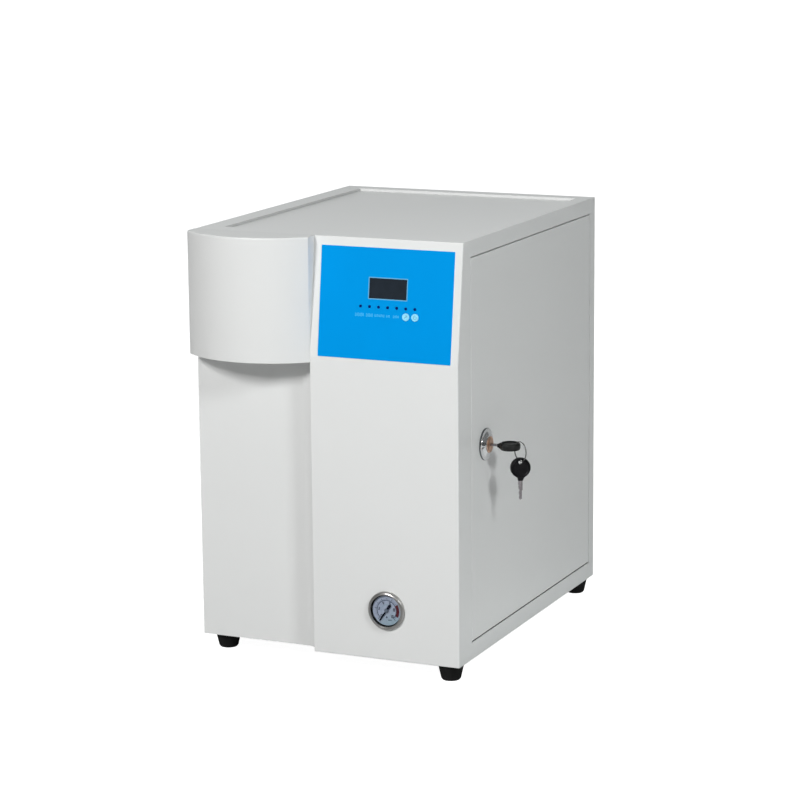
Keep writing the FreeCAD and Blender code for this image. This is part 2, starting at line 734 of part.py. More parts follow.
cam = pad(
    "cam", "YZ_Plane",
    [
        [("-9", "0"), ("-6", "-cam_reach+3"), ("-3", "-cam_reach"), ("3", "-cam_reach"), ("6", "-cam_reach+3"), ("9", "0", "9", 1), ("0", "9", "9", 1)],
        rectangle("-3.1", "-3.1", "3.1", "3.1"),
    ],
    "cam_sheet",
)
publish(cam, "lock_cam", "plug_rear-cam_sheet", "lock_y", "lock_z")
cam_screw = fuse(
    "cam_screw_fused",
    cylinder("cam_screw_head", "4.8", "2.4", "plug_rear-cam_sheet-2.4", "lock_y", "lock_z", "X"),
    cylinder("cam_screw_shank", "1.55", "1.8", "plug_rear-cam_sheet", "lock_y", "lock_z", "X"),
)
publish(cam_screw, "cam_screw")


# ---------------------------------------------------------------- keys
def key_head(name):
    """Round head, thick at the rim and dished inside, with a ring hole and a
    collar that holds the blade."""
    side = [("9.3", "2.4"), ("11.1", "4.1"), ("key_round-1.2", "4.3"), ("key_round-0.4", "3.4"), ("key_round", "1.9")]
    lower = [(r, "-" + z) for r, z in side]
    crown = turned(name + "_crown", [("0", "-2.4")] + lower + side[::-1] + [("0", "2.4")])
    collar = pad(
        name + "_collar", "XY_Plane",
        [[("-9.5", "-6.2"), ("-11.8", "-4.2"), ("-13.6", "-3.2"), ("-key_neck", "-2.9"), ("-key_neck", "2.9"), ("-13.6", "3.2"), ("-11.8", "4.2"), ("-9.5", "6.2")]],
        "8", both=True,
    )
    taper = pad(
        name + "_taper", "XZ_Plane",
        [[("-9.5", "-4.2"), ("-11", "-3.9"), ("-12.6", "-3.2"), ("-14.4", "-2.4"), ("-key_neck", "-1.9"), ("-key_neck", "1.9"), ("-14.4", "2.6"), ("-12.6", "3.4"), ("-11", "4"), ("-9.5", "4.2")]],
        "14", both=True,
    )
    collar = common(name + "_collar_tapered", collar, taper)
    eye = cylinder(name + "_eye", "key_hole", "20", "key_hole_at", "0", "-10")
    return cut(name + "_bored", fuse(name + "_block", crown, collar), eye)


def key_blade(name):
    """Flat blade with cuts along both edges and a milled groove on each side."""
    steps = [(5.0, 0.0), (5.8, 0.4), (7.0, 0.4), (7.8, 0.1), (9.4, 0.5), (10.6, 0.5), (11.6, 1.3), (13.2, 1.3), (14.2, 0.8), (17.2, 0.8), (18.2, 1.2), (20.0, 1.2), (20.8, 0.9)]
    upper = [("-key_neck-%s" % dx, "blade_wide/2-%s" % bite) for dx, bite in steps]
    outline = [("-key_neck", "blade_wide/2")] + upper + [
        ("-key_neck-blade_long+1.2", "1.5"), ("-key_neck-blade_long", "0.1"), ("-key_neck-blade_long+1.2", "-1.5"),
        ("-key_neck-12.6", "-blade_wide/2+0.9"), ("-key_neck-11.8", "-blade_wide/2"), ("-key_neck", "-blade_wide/2"),
    ]
    flat = pad(name + "_flat", "XY_Plane", [outline], "blade_thick", both=True)
    g1 = box(name + "_groove_a", "blade_long", "0.9", "0.6", "-key_neck-blade_long-1", "-1.1", "blade_thick/2-0.5")
    g2 = box(name + "_groove_b", "blade_long", "0.9", "0.6", "-key_neck-blade_long-1", "-0.3", "-blade_thick/2-0.1")
    return cut(name + "_milled", flat, g1, g2)


publish(key_head("main_head"), "key_head", "key_x", "lock_y", "lock_z")
publish(key_blade("main_blade"), "key_blade", "key_x", "lock_y", "lock_z")

# The ring threads the head's eye and hangs down outside it; the spare key
# hangs from the lowest point of the ring.
RING_X = "key_x+key_hole_at+ring_out*cos(ring_turn)"
RING_Y = "lock_y+ring_out*sin(ring_turn)"
RING_Z = "lock_z-ring_drop"
ring = doc.addObject("Part::Torus", "ring_wire_round")
bind(ring, "Radius1", "ring_radius")
bind(ring, "Radius2", "ring_wire")
turn = math.radians(num("ring_turn"))
publish(ring, "key_ring", RING_X, RING_Y, RING_Z, Rotation(V(0, 0, 1), V(-math.sin(turn), math.cos(turn), 0)))

turn = math.radians(num("spare_turn"))
face = V(math.cos(turn), math.sin(turn), 0)
hang = Rotation(V(0, 0, 1), face.cross(V(0, 0, 1)), face, "ZXY")
SPARE_Z = RING_Z + "-ring_radius-spare_drop-key_hole_at"
publish(key_head("spare_head"), "spare_key_head", RING_X, RING_Y, SPARE_Z, hang)
publish(key_blade("spare_blade"), "spare_key_blade", RING_X, RING_Y, SPARE_Z, hang)

# ================================================================ gauge
# Local Z of each turned piece points out of the front panel.
OUT = AXIS["-Y"]
bezel = turned("bezel", [
    ("case_radius+0.1", "0"), ("bezel_radius", "0"), ("bezel_radius", "1.8"), ("bezel_radius-0.25", "2.8"), ("bezel_radius-0.8", "3.8"), ("bezel_radius-1.6", "4.5"),
    ("bezel_radius-2.5", "4.9"), ("bezel_radius-3.3", "5.0"), ("bezel_radius-3.9", "4.8"), ("bezel_radius-4.1", "4.4"), ("bezel_radius-4.1", "3.6"), ("case_radius+0.1", "3.6"),
])
publish(bezel, "gauge_bezel", "gauge_x", "0", "gauge_z", OUT)
publish(turned("lens", [("0", "2.6"), ("case_radius", "2.6"), ("case_radius", "3.6"), ("0", "3.6")]), "gauge_lens", "gauge_x", "0", "gauge_z", OUT)
publish(turned("seal", [("18.9", "0.3"), ("case_radius", "0.3"), ("case_radius", "2.6"), ("19.8", "2.6")]), "gauge_seal", "gauge_x", "0", "gauge_z", OUT)
publish(turned("dial", [("1.2", "-0.5"), ("case_radius", "-0.5"), ("case_radius", "0.3"), ("1.2", "0.3")]), "gauge_dial", "gauge_x", "0", "gauge_z", OUT)
case_cup = turned("case_cup", [
    ("0", "-40"), ("5", "-40"), ("5", "-26"), ("case_radius", "-26"), ("case_radius", "-0.5"), ("case_radius-0.8", "-0.5"), ("case_radius-0.8", "-25.2"), ("0", "-25.2"),
])
publish(case_cup, "gauge_case", "gauge_x", "0", "gauge_z", OUT)
movement = turned("movement", [("0.9", "-16"), ("7", "-16"), ("7", "-8"), ("9", "-8"), ("9", "-4"), ("0.9", "-4")])
bourdon = doc.addObject("Part::Torus", "bourdon")
bourdon.Radius1, bourdon.Radius2, bourdon.Angle3 = 14.5, 2.0, 270
put(bourdon, "0", "0", "-14", Rotation())
socket = box("socket_block", "7", "10", "13.2", "10.5", "-5", "-25.2")
web = box("movement_web", "9", "6", "3", "4", "-3", "-15")
mech = fuse("mech", movement, bourdon, socket, web)
publish(mech, "gauge_movement", "gauge_x", "0", "gauge_z", OUT)
needle_turn = Rotation(V(0, 0, 1), 235.5)
needle_hub = turned("needle_hub", [("0", "-10"), ("0.8", "-10"), ("0.8", "0.8"), ("2.6", "0.8"), ("2.6", "1.9"), ("1.8", "2.2"), ("0", "2.2")])
needle_arm = pad("needle_arm", "XY_Plane", [[("-9", "-1.4"), ("-7.6", "-1.8"), ("-3", "-1.5"), ("-1.2", "-0.9"), ("6", "-1.1"), ("15.8", "-0.7"), ("16.8", "0"), ("15.8", "0.7"), ("6", "1.1"), ("-1.2", "0.9"), ("-3", "1.5"), ("-7.6", "1.8"), ("-9", "1.4")]], "0.5")
put(needle_arm, "0", "0", "1.1")
publish(fuse("needle", needle_hub, needle_arm), "gauge_needle", "gauge_x", "0", "gauge_z", OUT.multiply(needle_turn))
clamp = cut(
    "clamp_cut",
    fuse(
        "clamp_block",
        box("clamp_back", "52", "1.5", "12", "gauge_x-26", "30", "gauge_z-6"),
        box("clamp_leg_a", "1.5", "30.3", "12", "gauge_x-26", "skin", "gauge_z-6"),
        box("clamp_leg_b", "1.5", "30.3", "12", "gauge_x+24.5", "skin", "gauge_z-6"),
        hexagon("clamp_nut", "14", "4", "gauge_x", "31.5", "gauge_z", "Y"),
    ),
    cylinder("clamp_bore", "5.05", "20", "gauge_x", "20", "gauge_z", "Y"),
)
publish(clamp, "gauge_clamp")

# ================================================================ control panel
lamps_at = ["lamp_first+%d*lamp_pitch" % i for i in range(7)]
overlay = pad(
    "overlay", "XZ_Plane",
    [
        rounded("panel_left", "panel_low", "panel_right", "panel_high", "1"),
        rectangle("window_left", "window_low", "window_right", "window_high"),
        ("circle", "button_one", "button_up", "button_radius+0.3"),
        ("circle", "button_two", "button_up", "button_radius+0.3"),
    ] + [("circle", at, "lamp_up", "lamp_radius+0.15") for at in lamps_at],
    "film",
)
publish(overlay, "control_overlay", "0", "0", "knee_height", LEAN)


def lean_publish(obj, label):
    """Finish a piece whose own placement is on the leaning face."""
    return publish(group(label + "_held", obj), label)


lens_block = lean_box("window_lens", "window_left+0.15", "window_right-0.15", "-0.45", "1.6", "window_low+0.15", "window_high-0.15")
lean_publish(lens_block, "display_window")

board_parts = [
    lean_box("board_sheet", "-165", "-30", "board_deep", "board_deep+1.6", "34", "114"),
    lean_box("display_block", "window_left-4", "window_right+4", "1.6", "board_deep", "window_low-3", "window_high+3"),
    lean_box("board_chip", "-150", "-138", "board_deep-2.4", "board_deep", "82", "94"),
    lean_box("board_plug", "-52", "-38", "board_deep+1.6", "board_deep+9", "80", "102"),
]
for i, at in enumerate(("button_one", "button_two")):
    board_parts.append(lean_box("key_switch_%d" % i, "%s-3" % at, "%s+3" % at, "8.5", "board_deep", "button_up-3", "button_up+3"))
    board_parts.append(lean_rod("key_plunger_%d" % i, "1.6", at, "button_up", "7.3", "8.5"))
publish(fuse("board_fused", *board_parts), "control_board")
publish(
    group("standoff_group", *[
        lean_rod("standoff_%d" % i, "3", x, u, "skin", "board_deep")
        for i, (x, u) in enumerate([("-160", "39"), ("-35", "39"), ("-160", "109"), ("-35", "109")])
    ]),
    "board_standoffs",
)
publish(
    group("lamp_group", *[lean_rod("lamp_%d" % i, "lamp_radius", at, "lamp_up", "-0.5", "board_deep") for i, at in enumerate(lamps_at)]),
    "indicator_lamps",
)
for name, at in (("button_left", "button_one"), ("button_right", "button_two")):
    cap = fuse(
        name + "_cap",
        lean_rod(name + "_face", "button_radius", at, "button_up", "-film-button_proud", "1.6"),
        lean_rod(name + "_flange", "button_radius+1.2", at, "button_up", "1.5", "2.4"),
        lean_rod(name + "_stem", "1.5", at, "button_up", "2.4", "6.1"),
    )
    publish(cap, name)

# ================================================================ rear
entry = cut(
    "entry",
    fuse(
        "entry_block",
        box("entry_flange", "31", "2.2", "58", "entry_x-15.5", "cab_depth", "entry_z-29"),
        box("entry_body", "27", "22", "52", "entry_x-13.5", "cab_depth-22", "entry_z-26"),
    ),
    box("inlet_hollow", "24", "30", "17", "entry_x-12", "cab_depth-16", "entry_z-24"),
    box("rocker_hollow", "20", "30", "22.6", "entry_x-10", "cab_depth-14", "entry_z+1.7"),
    cylinder("rocker_pin_hole", "1.26", "22.4", "entry_x-11.2", "cab_depth-2", "entry_z+13", "X"),
)
publish(entry, "power_entry")
publish(
    group("inlet_pin_group", *[
        box("inlet_pin_%d" % i, "2", "13", "4", "entry_x-1+(%s)" % dx, "cab_depth-16", "entry_z-15.5-2+(%s)" % dz)
        for i, (dx, dz) in enumerate([("-7", "-2"), ("0", "2"), ("7", "-2")])
    ]),
    "inlet_pins",
)
rocker = fuse(
    "rocker_fused",
    pad("rocker", "YZ_Plane", [[("3.2", "0"), ("4.6", "-10.4"), ("-4.5", "-7"), ("-6.5", "0"), ("-4.5", "7"), ("4.6", "10.4")]], "19.2", both=True),
    cylinder("rocker_pin", "1.2", "22", "-11", "0", "0", "X"),
)
publish(rocker, "power_rocker", "entry_x", "cab_depth-2", "entry_z+13", Rotation(V(1, 0, 0), 8))

fittings = []
for i in range(2):
    fitting = turned("fitting_%d" % i, [
        ("port_bore", "13"), ("5.6", "13"), ("6", "12.4"), ("6", "11"), ("9.5", "11"), ("9.5", "0"), ("7", "0"), ("7", "-skin"), ("10", "-skin"), ("10", "-6"),
        ("7", "-6"), ("7", "-24"), ("2.2", "-24"), ("2.2", "-3"), ("port_bore", "-3"),
    ])
    fittings.append(put(fitting, "fit_first+%d*fit_pitch" % i, "cab_depth", "fit_z", AXIS["Y"]))
publish(group("fitting_group", *fittings), "bulkhead_fittings")

# ================================================================ inside
plate = cut(
    "wall_cut",
    fuse(
        "wall_block",
        box("wall_sheet_flat", "wall_sheet", "wall_rear-wall_front", "500-base_sheet", "wall_x", "wall_front", "base_sheet"),
        box("wall_foot", "18", "wall_rear-wall_front", "wall_sheet", "wall_x", "wall_front", "base_sheet"),
    ),
    cylinder("wall_hole_a", "6", "20", "wall_x-10", "208", "472", "X"),
    cylinder("wall_hole_b", "6", "20", "wall_x-10", "262", "490", "X"),
    cylinder("wall_hole_c", "6", "20", "wall_x-10", "388", "472", "X"),
)
publish(plate, "inner_mounting_plate")

FILTER_X = "wall_x+wall_sheet+filter_off"
names = ["sediment_filter", "carbon_filter", "deionizing_column", "polishing_column"]
heads, clips = [], []
for i, name in enumerate(names):
    fy = "filter_first+%d*filter_pitch" % i
    body = turned(name, [
        ("0", "0"), ("20", "0"), ("27", "3"), ("31", "9"), ("filter_radius", "16"), ("filter_radius", "262"), ("33.5", "264"), ("33.5", "284"), ("30", "292"), ("16", "297"),
        ("12", "298"), ("12", "315"), ("0", "315"),
    ])
    publish(body, name, FILTER_X, fy, "filter_z")
    head = cut(
        "head_cut_%d" % i,
        fuse(
            "head_block_%d" % i,
            box("head_bar_%d" % i, "filter_off+26", "54", "26", "wall_x+wall_sheet", fy + "-27", "filter_z+302"),
            cylinder("head_skirt_%d" % i, "24", "28", FILTER_X, fy, "filter_z+300"),
            cylinder("head_port_a_%d" % i, "6", "12", "-104", fy + "-18", "filter_z+326"),
            cylinder("head_port_b_%d" % i, "6", "12", "-104", fy + "+18", "filter_z+326"),
        ),
        cylinder("head_socket_%d" % i, "12.1", "18", FILTER_X, fy, "filter_z+298"),
    )
    heads.append(head)


def clip(tag, side, cx, cy, cz):
    """Spring clip: an open ring on an arm from the mounting plate."""
    arm_x = "wall_x+wall_sheet" if side > 0 else cx
    mouth_x = cx + "+12" if side > 0 else cx + "-12-40"
    return cut(
        "clip_" + tag,
        fuse(
            "clip_ring_" + tag,
            cylinder("clip_round_" + tag, "filter_radius+2", "12", cx, cy, cz),
            box("clip_arm_" + tag, "filter_off", "14", "12", arm_x, cy + "-7", cz),
        ),
        cylinder("clip_bore_" + tag, "filter_radius+0.1", "20", cx, cy, "(%s)-4" % cz),
        box("clip_mouth_" + tag, "40", "60", "20", mouth_x, cy + "-30", "(%s)-4" % cz),
    )


for i in range(4):
    clips.append(clip("f%d" % i, 1, FILTER_X, "filter_first+%d*filter_pitch" % i, "190"))
RO_X = "wall_x-filter_off"
clips.append(clip("m0", -1, RO_X, "110", "130"))
clips.append(clip("m1", -1, RO_X, "110", "340"))
publish(group("head_group", *heads), "filter_heads")
publish(group("clip_group", *clips), "retaining_clips")

membrane = fuse(
    "membrane",
    turned("membrane_tube", [
        ("0", "70"), ("28", "70"), ("34.5", "76"), ("34.5", "106"), ("filter_radius", "108"), ("filter_radius", "392"), ("34.5", "394"), ("34.5", "416"), ("28", "422"), ("0", "422"),
    ]),
    cylinder("membrane_port_a", "6", "11", "0", "0", "421"),
    cylinder("membrane_port_b", "6", "11", "16.4", "0", "421"),
    cylinder("membrane_port_c", "6", "13", "0", "0", "58"),
    cylinder("membrane_port_d", "6", "13", "16.4", "0", "58"),
)
publish(membrane, "membrane_housing", RO_X, "110", "0")

# Booster pump: motor case and diaphragm head, with the rotor turning inside.
pump = cut(
    "pump",
    fuse(
        "pump_block",
        cylinder("motor_can", "44", "110", "pump_x", "330", "pump_z", "Y"),
        box("motor_saddle", "60", "80", "30", "pump_x-30", "345", "base_sheet"),
        cylinder("pump_head_round", "40", "31", "pump_x", "300", "pump_z", "Y"),
        box("pump_head_front", "64", "42", "64", "pump_x-32", "260", "pump_z-32"),
        cylinder("pump_port_a", "6", "14", "pump_x-15", "285", "pump_z+30"),
        cylinder("pump_port_b", "6", "14", "pump_x+15", "285", "pump_z+30"),
    ),
    cylinder("motor_hollow", "41", "97", "pump_x", "333", "pump_z", "Y"),
    cylinder("motor_bore", "4.06", "136", "pump_x", "300", "pump_z", "Y"),
)
publish(pump, "booster_pump")
rotor = fuse(
    "rotor_fused",
    cylinder("rotor_shaft", "4", "130", "pump_x", "304.5", "pump_z", "Y"),
    cylinder("rotor_core", "30", "76", "pump_x", "346", "pump_z", "Y"),
)
publish(rotor, "pump_rotor")

# Power supply: a vented sheet case with its board and transformer fixed inside.
supply_case = cut(
    "supply_cut",
    box("supply_block", "48", "130", "98", "wall_x-48", "170", "300"),
    box("supply_hollow", "45.6", "127.6", "95.6", "wall_x-46.8", "171.2", "301.2"),
    *[box("supply_slot_%d" % i, "6", "60", "3", "wall_x-51", "205", "%d" % (318 + 10 * i)) for i in range(7)]
)
publish(
    fuse(
        "supply",
        supply_case,
        box("supply_board", "1.6", "128", "96", "wall_x-8", "171", "301"),
        box("supply_transformer", "28", "36", "30", "wall_x-35", "182", "312"),
        cylinder("supply_can_a", "9", "24", "wall_x-31", "250", "330", "X"),
        cylinder("supply_can_b", "9", "24", "wall_x-31", "274", "330", "X"),
        box("supply_sink", "20", "4", "50", "wall_x-27", "240", "343"),
    ),
    "power_supply",
)

valves = []
for i in range(3):
    vy = "%d" % (172, 272, 385)[i]
    valves.append(fuse(
        "valve_%d" % i,
        box("valve_body_%d" % i, "30", "28", "20", "wall_x-30", vy + "-14", "225"),
        cylinder("valve_coil_%d" % i, "12", "34", "wall_x-16", vy, "244"),
        cylinder("valve_ports_%d" % i, "6", "44", "wall_x-16", vy + "-22", "235", "Y"),
    ))
publish(group("valve_group", *valves), "solenoid_valves")

r = num("tube_radius")
tubes = [
    # mains water: rear port, feed valve, first filter, second filter, pump
    tube("tube_feed", [(-335, 447, 60), (-335, 422, 60), (-335, 422, 235), (-166, 422, 235), (-166, 407, 235)], r, 22),
    tube("tube_first", [(-166, 363, 235), (-166, 335, 235), (-166, 335, 508), (-104, 335, 508), (-104, 82, 508), (-104, 82, 450)], r, 20),
    tube("tube_second", [(-104, 118, 450), (-104, 118, 474), (-104, 172, 474), (-104, 172, 450)], r, 16),
    tube("tube_pump_in", [(-104, 208, 450), (-104, 208, 472), (-220, 208, 472), (-220, 208, 150), (-220, 285, 150), (-220, 285, 106)], r, 20),
    # pressure side: pump, membrane, gauge, waste
    tube("tube_pump_out", [(-250, 285, 106), (-250, 285, 128), (-250, 190, 128), (-250, 190, 28), (-206.4, 190, 28), (-206.4, 110, 28), (-206.4, 110, 58)], r, 20),
    tube("tube_gauge", [(-95, 40, 63), (-95, 60, 63), (-190, 60, 63), (-190, 60, 30), (-190, 110, 30), (-190, 110, 58)], r, 20),
    tube("tube_waste_in", [(-190, 110, 432), (-190, 110, 455), (-190, 155, 455), (-190, 155, 205), (-190, 222, 205), (-166, 222, 205), (-166, 222, 235), (-166, 250, 235)], r, 16),
    tube("tube_waste_out", [(-166, 294, 235), (-166, 312, 235), (-300, 312, 235), (-300, 312, 60), (-300, 447, 60)], r, 20),
    # pure water: membrane, two resin columns, dispense valve, nozzle
    tube("tube_pure", [(-206.4, 110, 432), (-206.4, 110, 490), (-206.4, 262, 490), (-104, 262, 490), (-104, 262, 450)], r, 20),
    tube("tube_resin", [(-104, 298, 450), (-104, 298, 474), (-104, 352, 474), (-104, 352, 450)], r, 16),
    tube("tube_polished", [(-104, 388, 450), (-104, 388, 472), (-185, 388, 472), (-185, 388, 288), (-185, 206, 288), (-166, 206, 288), (-166, 206, 235), (-166, 194, 235)], r, 20),
    tube("tube_dispense", [(-166, 150, 235), (-166, 60, 235), (-166, 60, 430), (-278.2, 60, 430), (-278.2, -2, 430), (-278.2, -2, 392)], r, 20),
]
publish(group("tube_group", *tubes), "water_tubes")

# ================================================================ checks, files
doc.recompute()
for obj in doc.Objects:
    if "Invalid" in obj.State or "Error" in obj.State:
        raise RuntimeError("%s: %s" % (obj.Label, obj.State))
for obj in PARTS:
    if obj.Shape.isNull() or not obj.Shape.isValid() or not obj.Shape.Solids:
        raise RuntimeError("%s has no valid solid" % obj.Label)

os.makedirs("parts", exist_ok=True)
whole = FreeCAD.BoundBox()
for obj in PARTS:
    obj.Shape.exportStep("parts/%s.step" % obj.Label)
    whole.add(obj.Shape.BoundBox)
print(len(PARTS), "nodes", "x %.2f %.2f y %.2f %.2f z %.2f %.2f" % (whole.XMin, whole.XMax, whole.YMin, whole.YMax, whole.ZMin, whole.ZMax))
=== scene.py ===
import math

import bmesh
import bpy
from mathutils import Matrix, Vector


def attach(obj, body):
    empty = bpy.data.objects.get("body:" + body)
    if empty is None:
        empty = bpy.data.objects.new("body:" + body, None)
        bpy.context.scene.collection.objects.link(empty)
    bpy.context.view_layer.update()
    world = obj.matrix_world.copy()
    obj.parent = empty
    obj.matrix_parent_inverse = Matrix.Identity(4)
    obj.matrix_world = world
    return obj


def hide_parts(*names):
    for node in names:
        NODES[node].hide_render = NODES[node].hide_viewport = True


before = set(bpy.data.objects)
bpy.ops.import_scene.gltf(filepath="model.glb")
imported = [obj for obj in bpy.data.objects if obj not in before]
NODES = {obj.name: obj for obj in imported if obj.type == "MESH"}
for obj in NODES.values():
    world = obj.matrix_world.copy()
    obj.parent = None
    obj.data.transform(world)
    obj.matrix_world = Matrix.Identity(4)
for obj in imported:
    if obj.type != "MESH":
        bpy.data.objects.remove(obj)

scene = bpy.context.scene
scene.view_settings.view_transform = "Standard"
scene.view_settings.look = "None"
bpy.context.view_layer.update()


def rgb(r, g, b):
    """A colour from 0-255 display numbers to linear."""
    def lin(c):
        c = c / 255.0
        return c / 12.92 if c <= 0.04045 else ((c + 0.055) / 1.055) ** 2.4
    return (lin(r), lin(g), lin(b), 1.0)


# ---------------------------------------------------------------- camera
YAW, PITCH, ROLL = math.radians(24.13), math.radians(11.51), math.radians(-0.53)
fw = Vector((-math.sin(YAW) * math.cos(PITCH), math.cos(YAW) * math.cos(PITCH), -math.sin(PITCH)))
rt = Vector((math.cos(YAW), math.sin(YAW), 0.0))
up = rt.cross(fw)
rt2 = rt * math.cos(ROLL) + up * math.sin(ROLL)
up2 = up * math.cos(ROLL) - rt * math.sin(ROLL)
cam_data = bpy.data.cameras.new("camera")
cam_data.lens = 125.55
cam_data.sensor_width = 36.0
cam_data.clip_start, cam_data.clip_end = 0.05, 200.0
cam = bpy.data.objects.new("camera", cam_data)
scene.collection.objects.link(cam)
turn = Matrix((rt2, up2, -fw)).transposed()
cam.matrix_world = Matrix.Translation((1.41994, -3.22909, 1.01826)) @ turn.to_4x4()
scene.camera = cam

# ---------------------------------------------------------------- light and floor
world = bpy.data.worlds.new("studio")
scene.world = world
world.use_nodes = True
wn = world.node_tree.nodes
wl = world.node_tree.links
wn.clear()
w_out = wn.new("ShaderNodeOutputWorld")
w_mix = wn.new("ShaderNodeMixShader")
w_path = wn.new("ShaderNodeLightPath")
w_light = wn.new("ShaderNodeBackground")
w_light.inputs["Color"].default_value = (0.97, 1.0, 1.0, 1.0)
w_where = wn.new("ShaderNodeTexCoord")
w_dot = wn.new("ShaderNodeVectorMath")
w_dot.operation = "DOT_PRODUCT"
w_dot.inputs[1].default_value = (-0.40, 0.895, 0.20)
w_zone = wn.new("ShaderNodeMapRange")
w_zone.interpolation_type = "SMOOTHSTEP"
w_zone.inputs["From Min"].default_value = math.cos(math.radians(50))
w_zone.inputs["From Max"].default_value = math.cos(math.radians(15))
w_zone.inputs["To Min"].default_value = 0.12
w_zone.inputs["To Max"].default_value = 0.66
wl.new(w_where.outputs["Generated"], w_dot.inputs[0])
wl.new(w_dot.outputs["Value"], w_zone.inputs["Value"])
wl.new(w_zone.outputs[0], w_light.inputs["Strength"])
w_seen = wn.new("ShaderNodeBackground")
w_seen.inputs["Color"].default_value = (1.0, 1.0, 1.0, 1.0)
w_seen.inputs["Strength"].default_value = 1.0
wl.new(w_path.outputs["Is Camera Ray"], w_mix.inputs["Fac"])
wl.new(w_light.outputs[0], w_mix.inputs[1])
wl.new(w_seen.outputs[0], w_mix.inputs[2])
wl.new(w_mix.outputs[0], w_out.inputs["Surface"])


def area_light(name, place, aim, size, power, colour, size_y=None):
    data = bpy.data.lights.new(name, "AREA")
    data.shape = "RECTANGLE" if size_y else "SQUARE"
    data.size = size
    if size_y:
        data.size_y = size_y
    data.energy = power
    data.color = colour
    ob = bpy.data.objects.new(name, data)
    scene.collection.objects.link(ob)
    ob.location = place
    ob.rotation_mode = "QUATERNION"
    ob.rotation_quaternion = (Vector(aim) - Vector(place)).to_track_quat("-Z", "Y")
    return ob


area_light("key_light", (-0.62, -2.90, 2.06), (-0.05, -0.2, 0.30), 0.70, 69.0, (1.0, 1.0, 0.995))
area_light("side_light", (2.27, -1.46, 1.84), (0.15, -0.1, 0.25), 0.50, 34.0, (0.97, 1.0, 1.0))

low_fill = area_light("low_fill", (0.245, 0.02, 0.022), (0.18, 0.02, 0.022), 0.60, 0.028, (0.94, 1.0, 1.0), 0.017)
low_fill.visible_camera = False
low_fill.visible_glossy = False

floor_mesh = bpy.data.meshes.new("floor")
bm = bmesh.new()
bmesh.ops.create_grid(bm, x_segments=8, y_segments=8, size=30.0)
bm.to_mesh(floor_mesh)
bm.free()
floor = bpy.data.objects.new("floor", floor_mesh)
scene.collection.objects.link(floor)
floor.location = (0, 0, -0.0004)
fm = bpy.data.materials.new("floor_pale")
fm.use_nodes = True
fn, fl = fm.node_tree.nodes, fm.node_tree.links
fn.clear()
f_out = fn.new("ShaderNodeOutputMaterial")
f_dif = fn.new("ShaderNodeBsdfDiffuse")
f_tc = fn.new("ShaderNodeTexCoord")
f_dot = fn.new("ShaderNodeVectorMath")
f_dot.operation = "DOT_PRODUCT"
f_dot.inputs[1].default_value = (0.8, 0.6, 0.0)
# painted light: the floor's colour is paler toward the right, standing in for more bounce light on the door's
# lower part
floor_painted_light = fn.new("ShaderNodeMapRange")
floor_painted_light.interpolation_type = "SMOOTHSTEP"
floor_painted_light.inputs["From Min"].default_value = -0.10
floor_painted_light.inputs["From Max"].default_value = 0.25
floor_painted_light.inputs["To Min"].default_value = 0.46
floor_painted_light.inputs["To Max"].default_value = 0.90
fl.new(f_tc.outputs["Object"], f_dot.inputs[0])
fl.new(f_dot.outputs["Value"], floor_painted_light.inputs["Value"])
fl.new(floor_painted_light.outputs[0], f_dif.inputs["Color"])
f_em = fn.new("ShaderNodeEmission")
f_em.inputs["Color"].default_value = (1, 1, 1, 1)
f_path = fn.new("ShaderNodeLightPath")
f_mul = fn.new("ShaderNodeMath")
f_mul.operation = "MULTIPLY"
f_mul.inputs[1].default_value = 0.97
f_add = fn.new("ShaderNodeAddShader")
fl.new(f_path.outputs["Is Camera Ray"], f_mul.inputs[0])
fl.new(f_mul.outputs[0], f_em.inputs["Strength"])
fl.new(f_dif.outputs[0], f_add.inputs[0])
fl.new(f_em.outputs[0], f_add.inputs[1])
fl.new(f_add.outputs[0], f_out.inputs["Surface"])
floor_mesh.materials.append(fm)


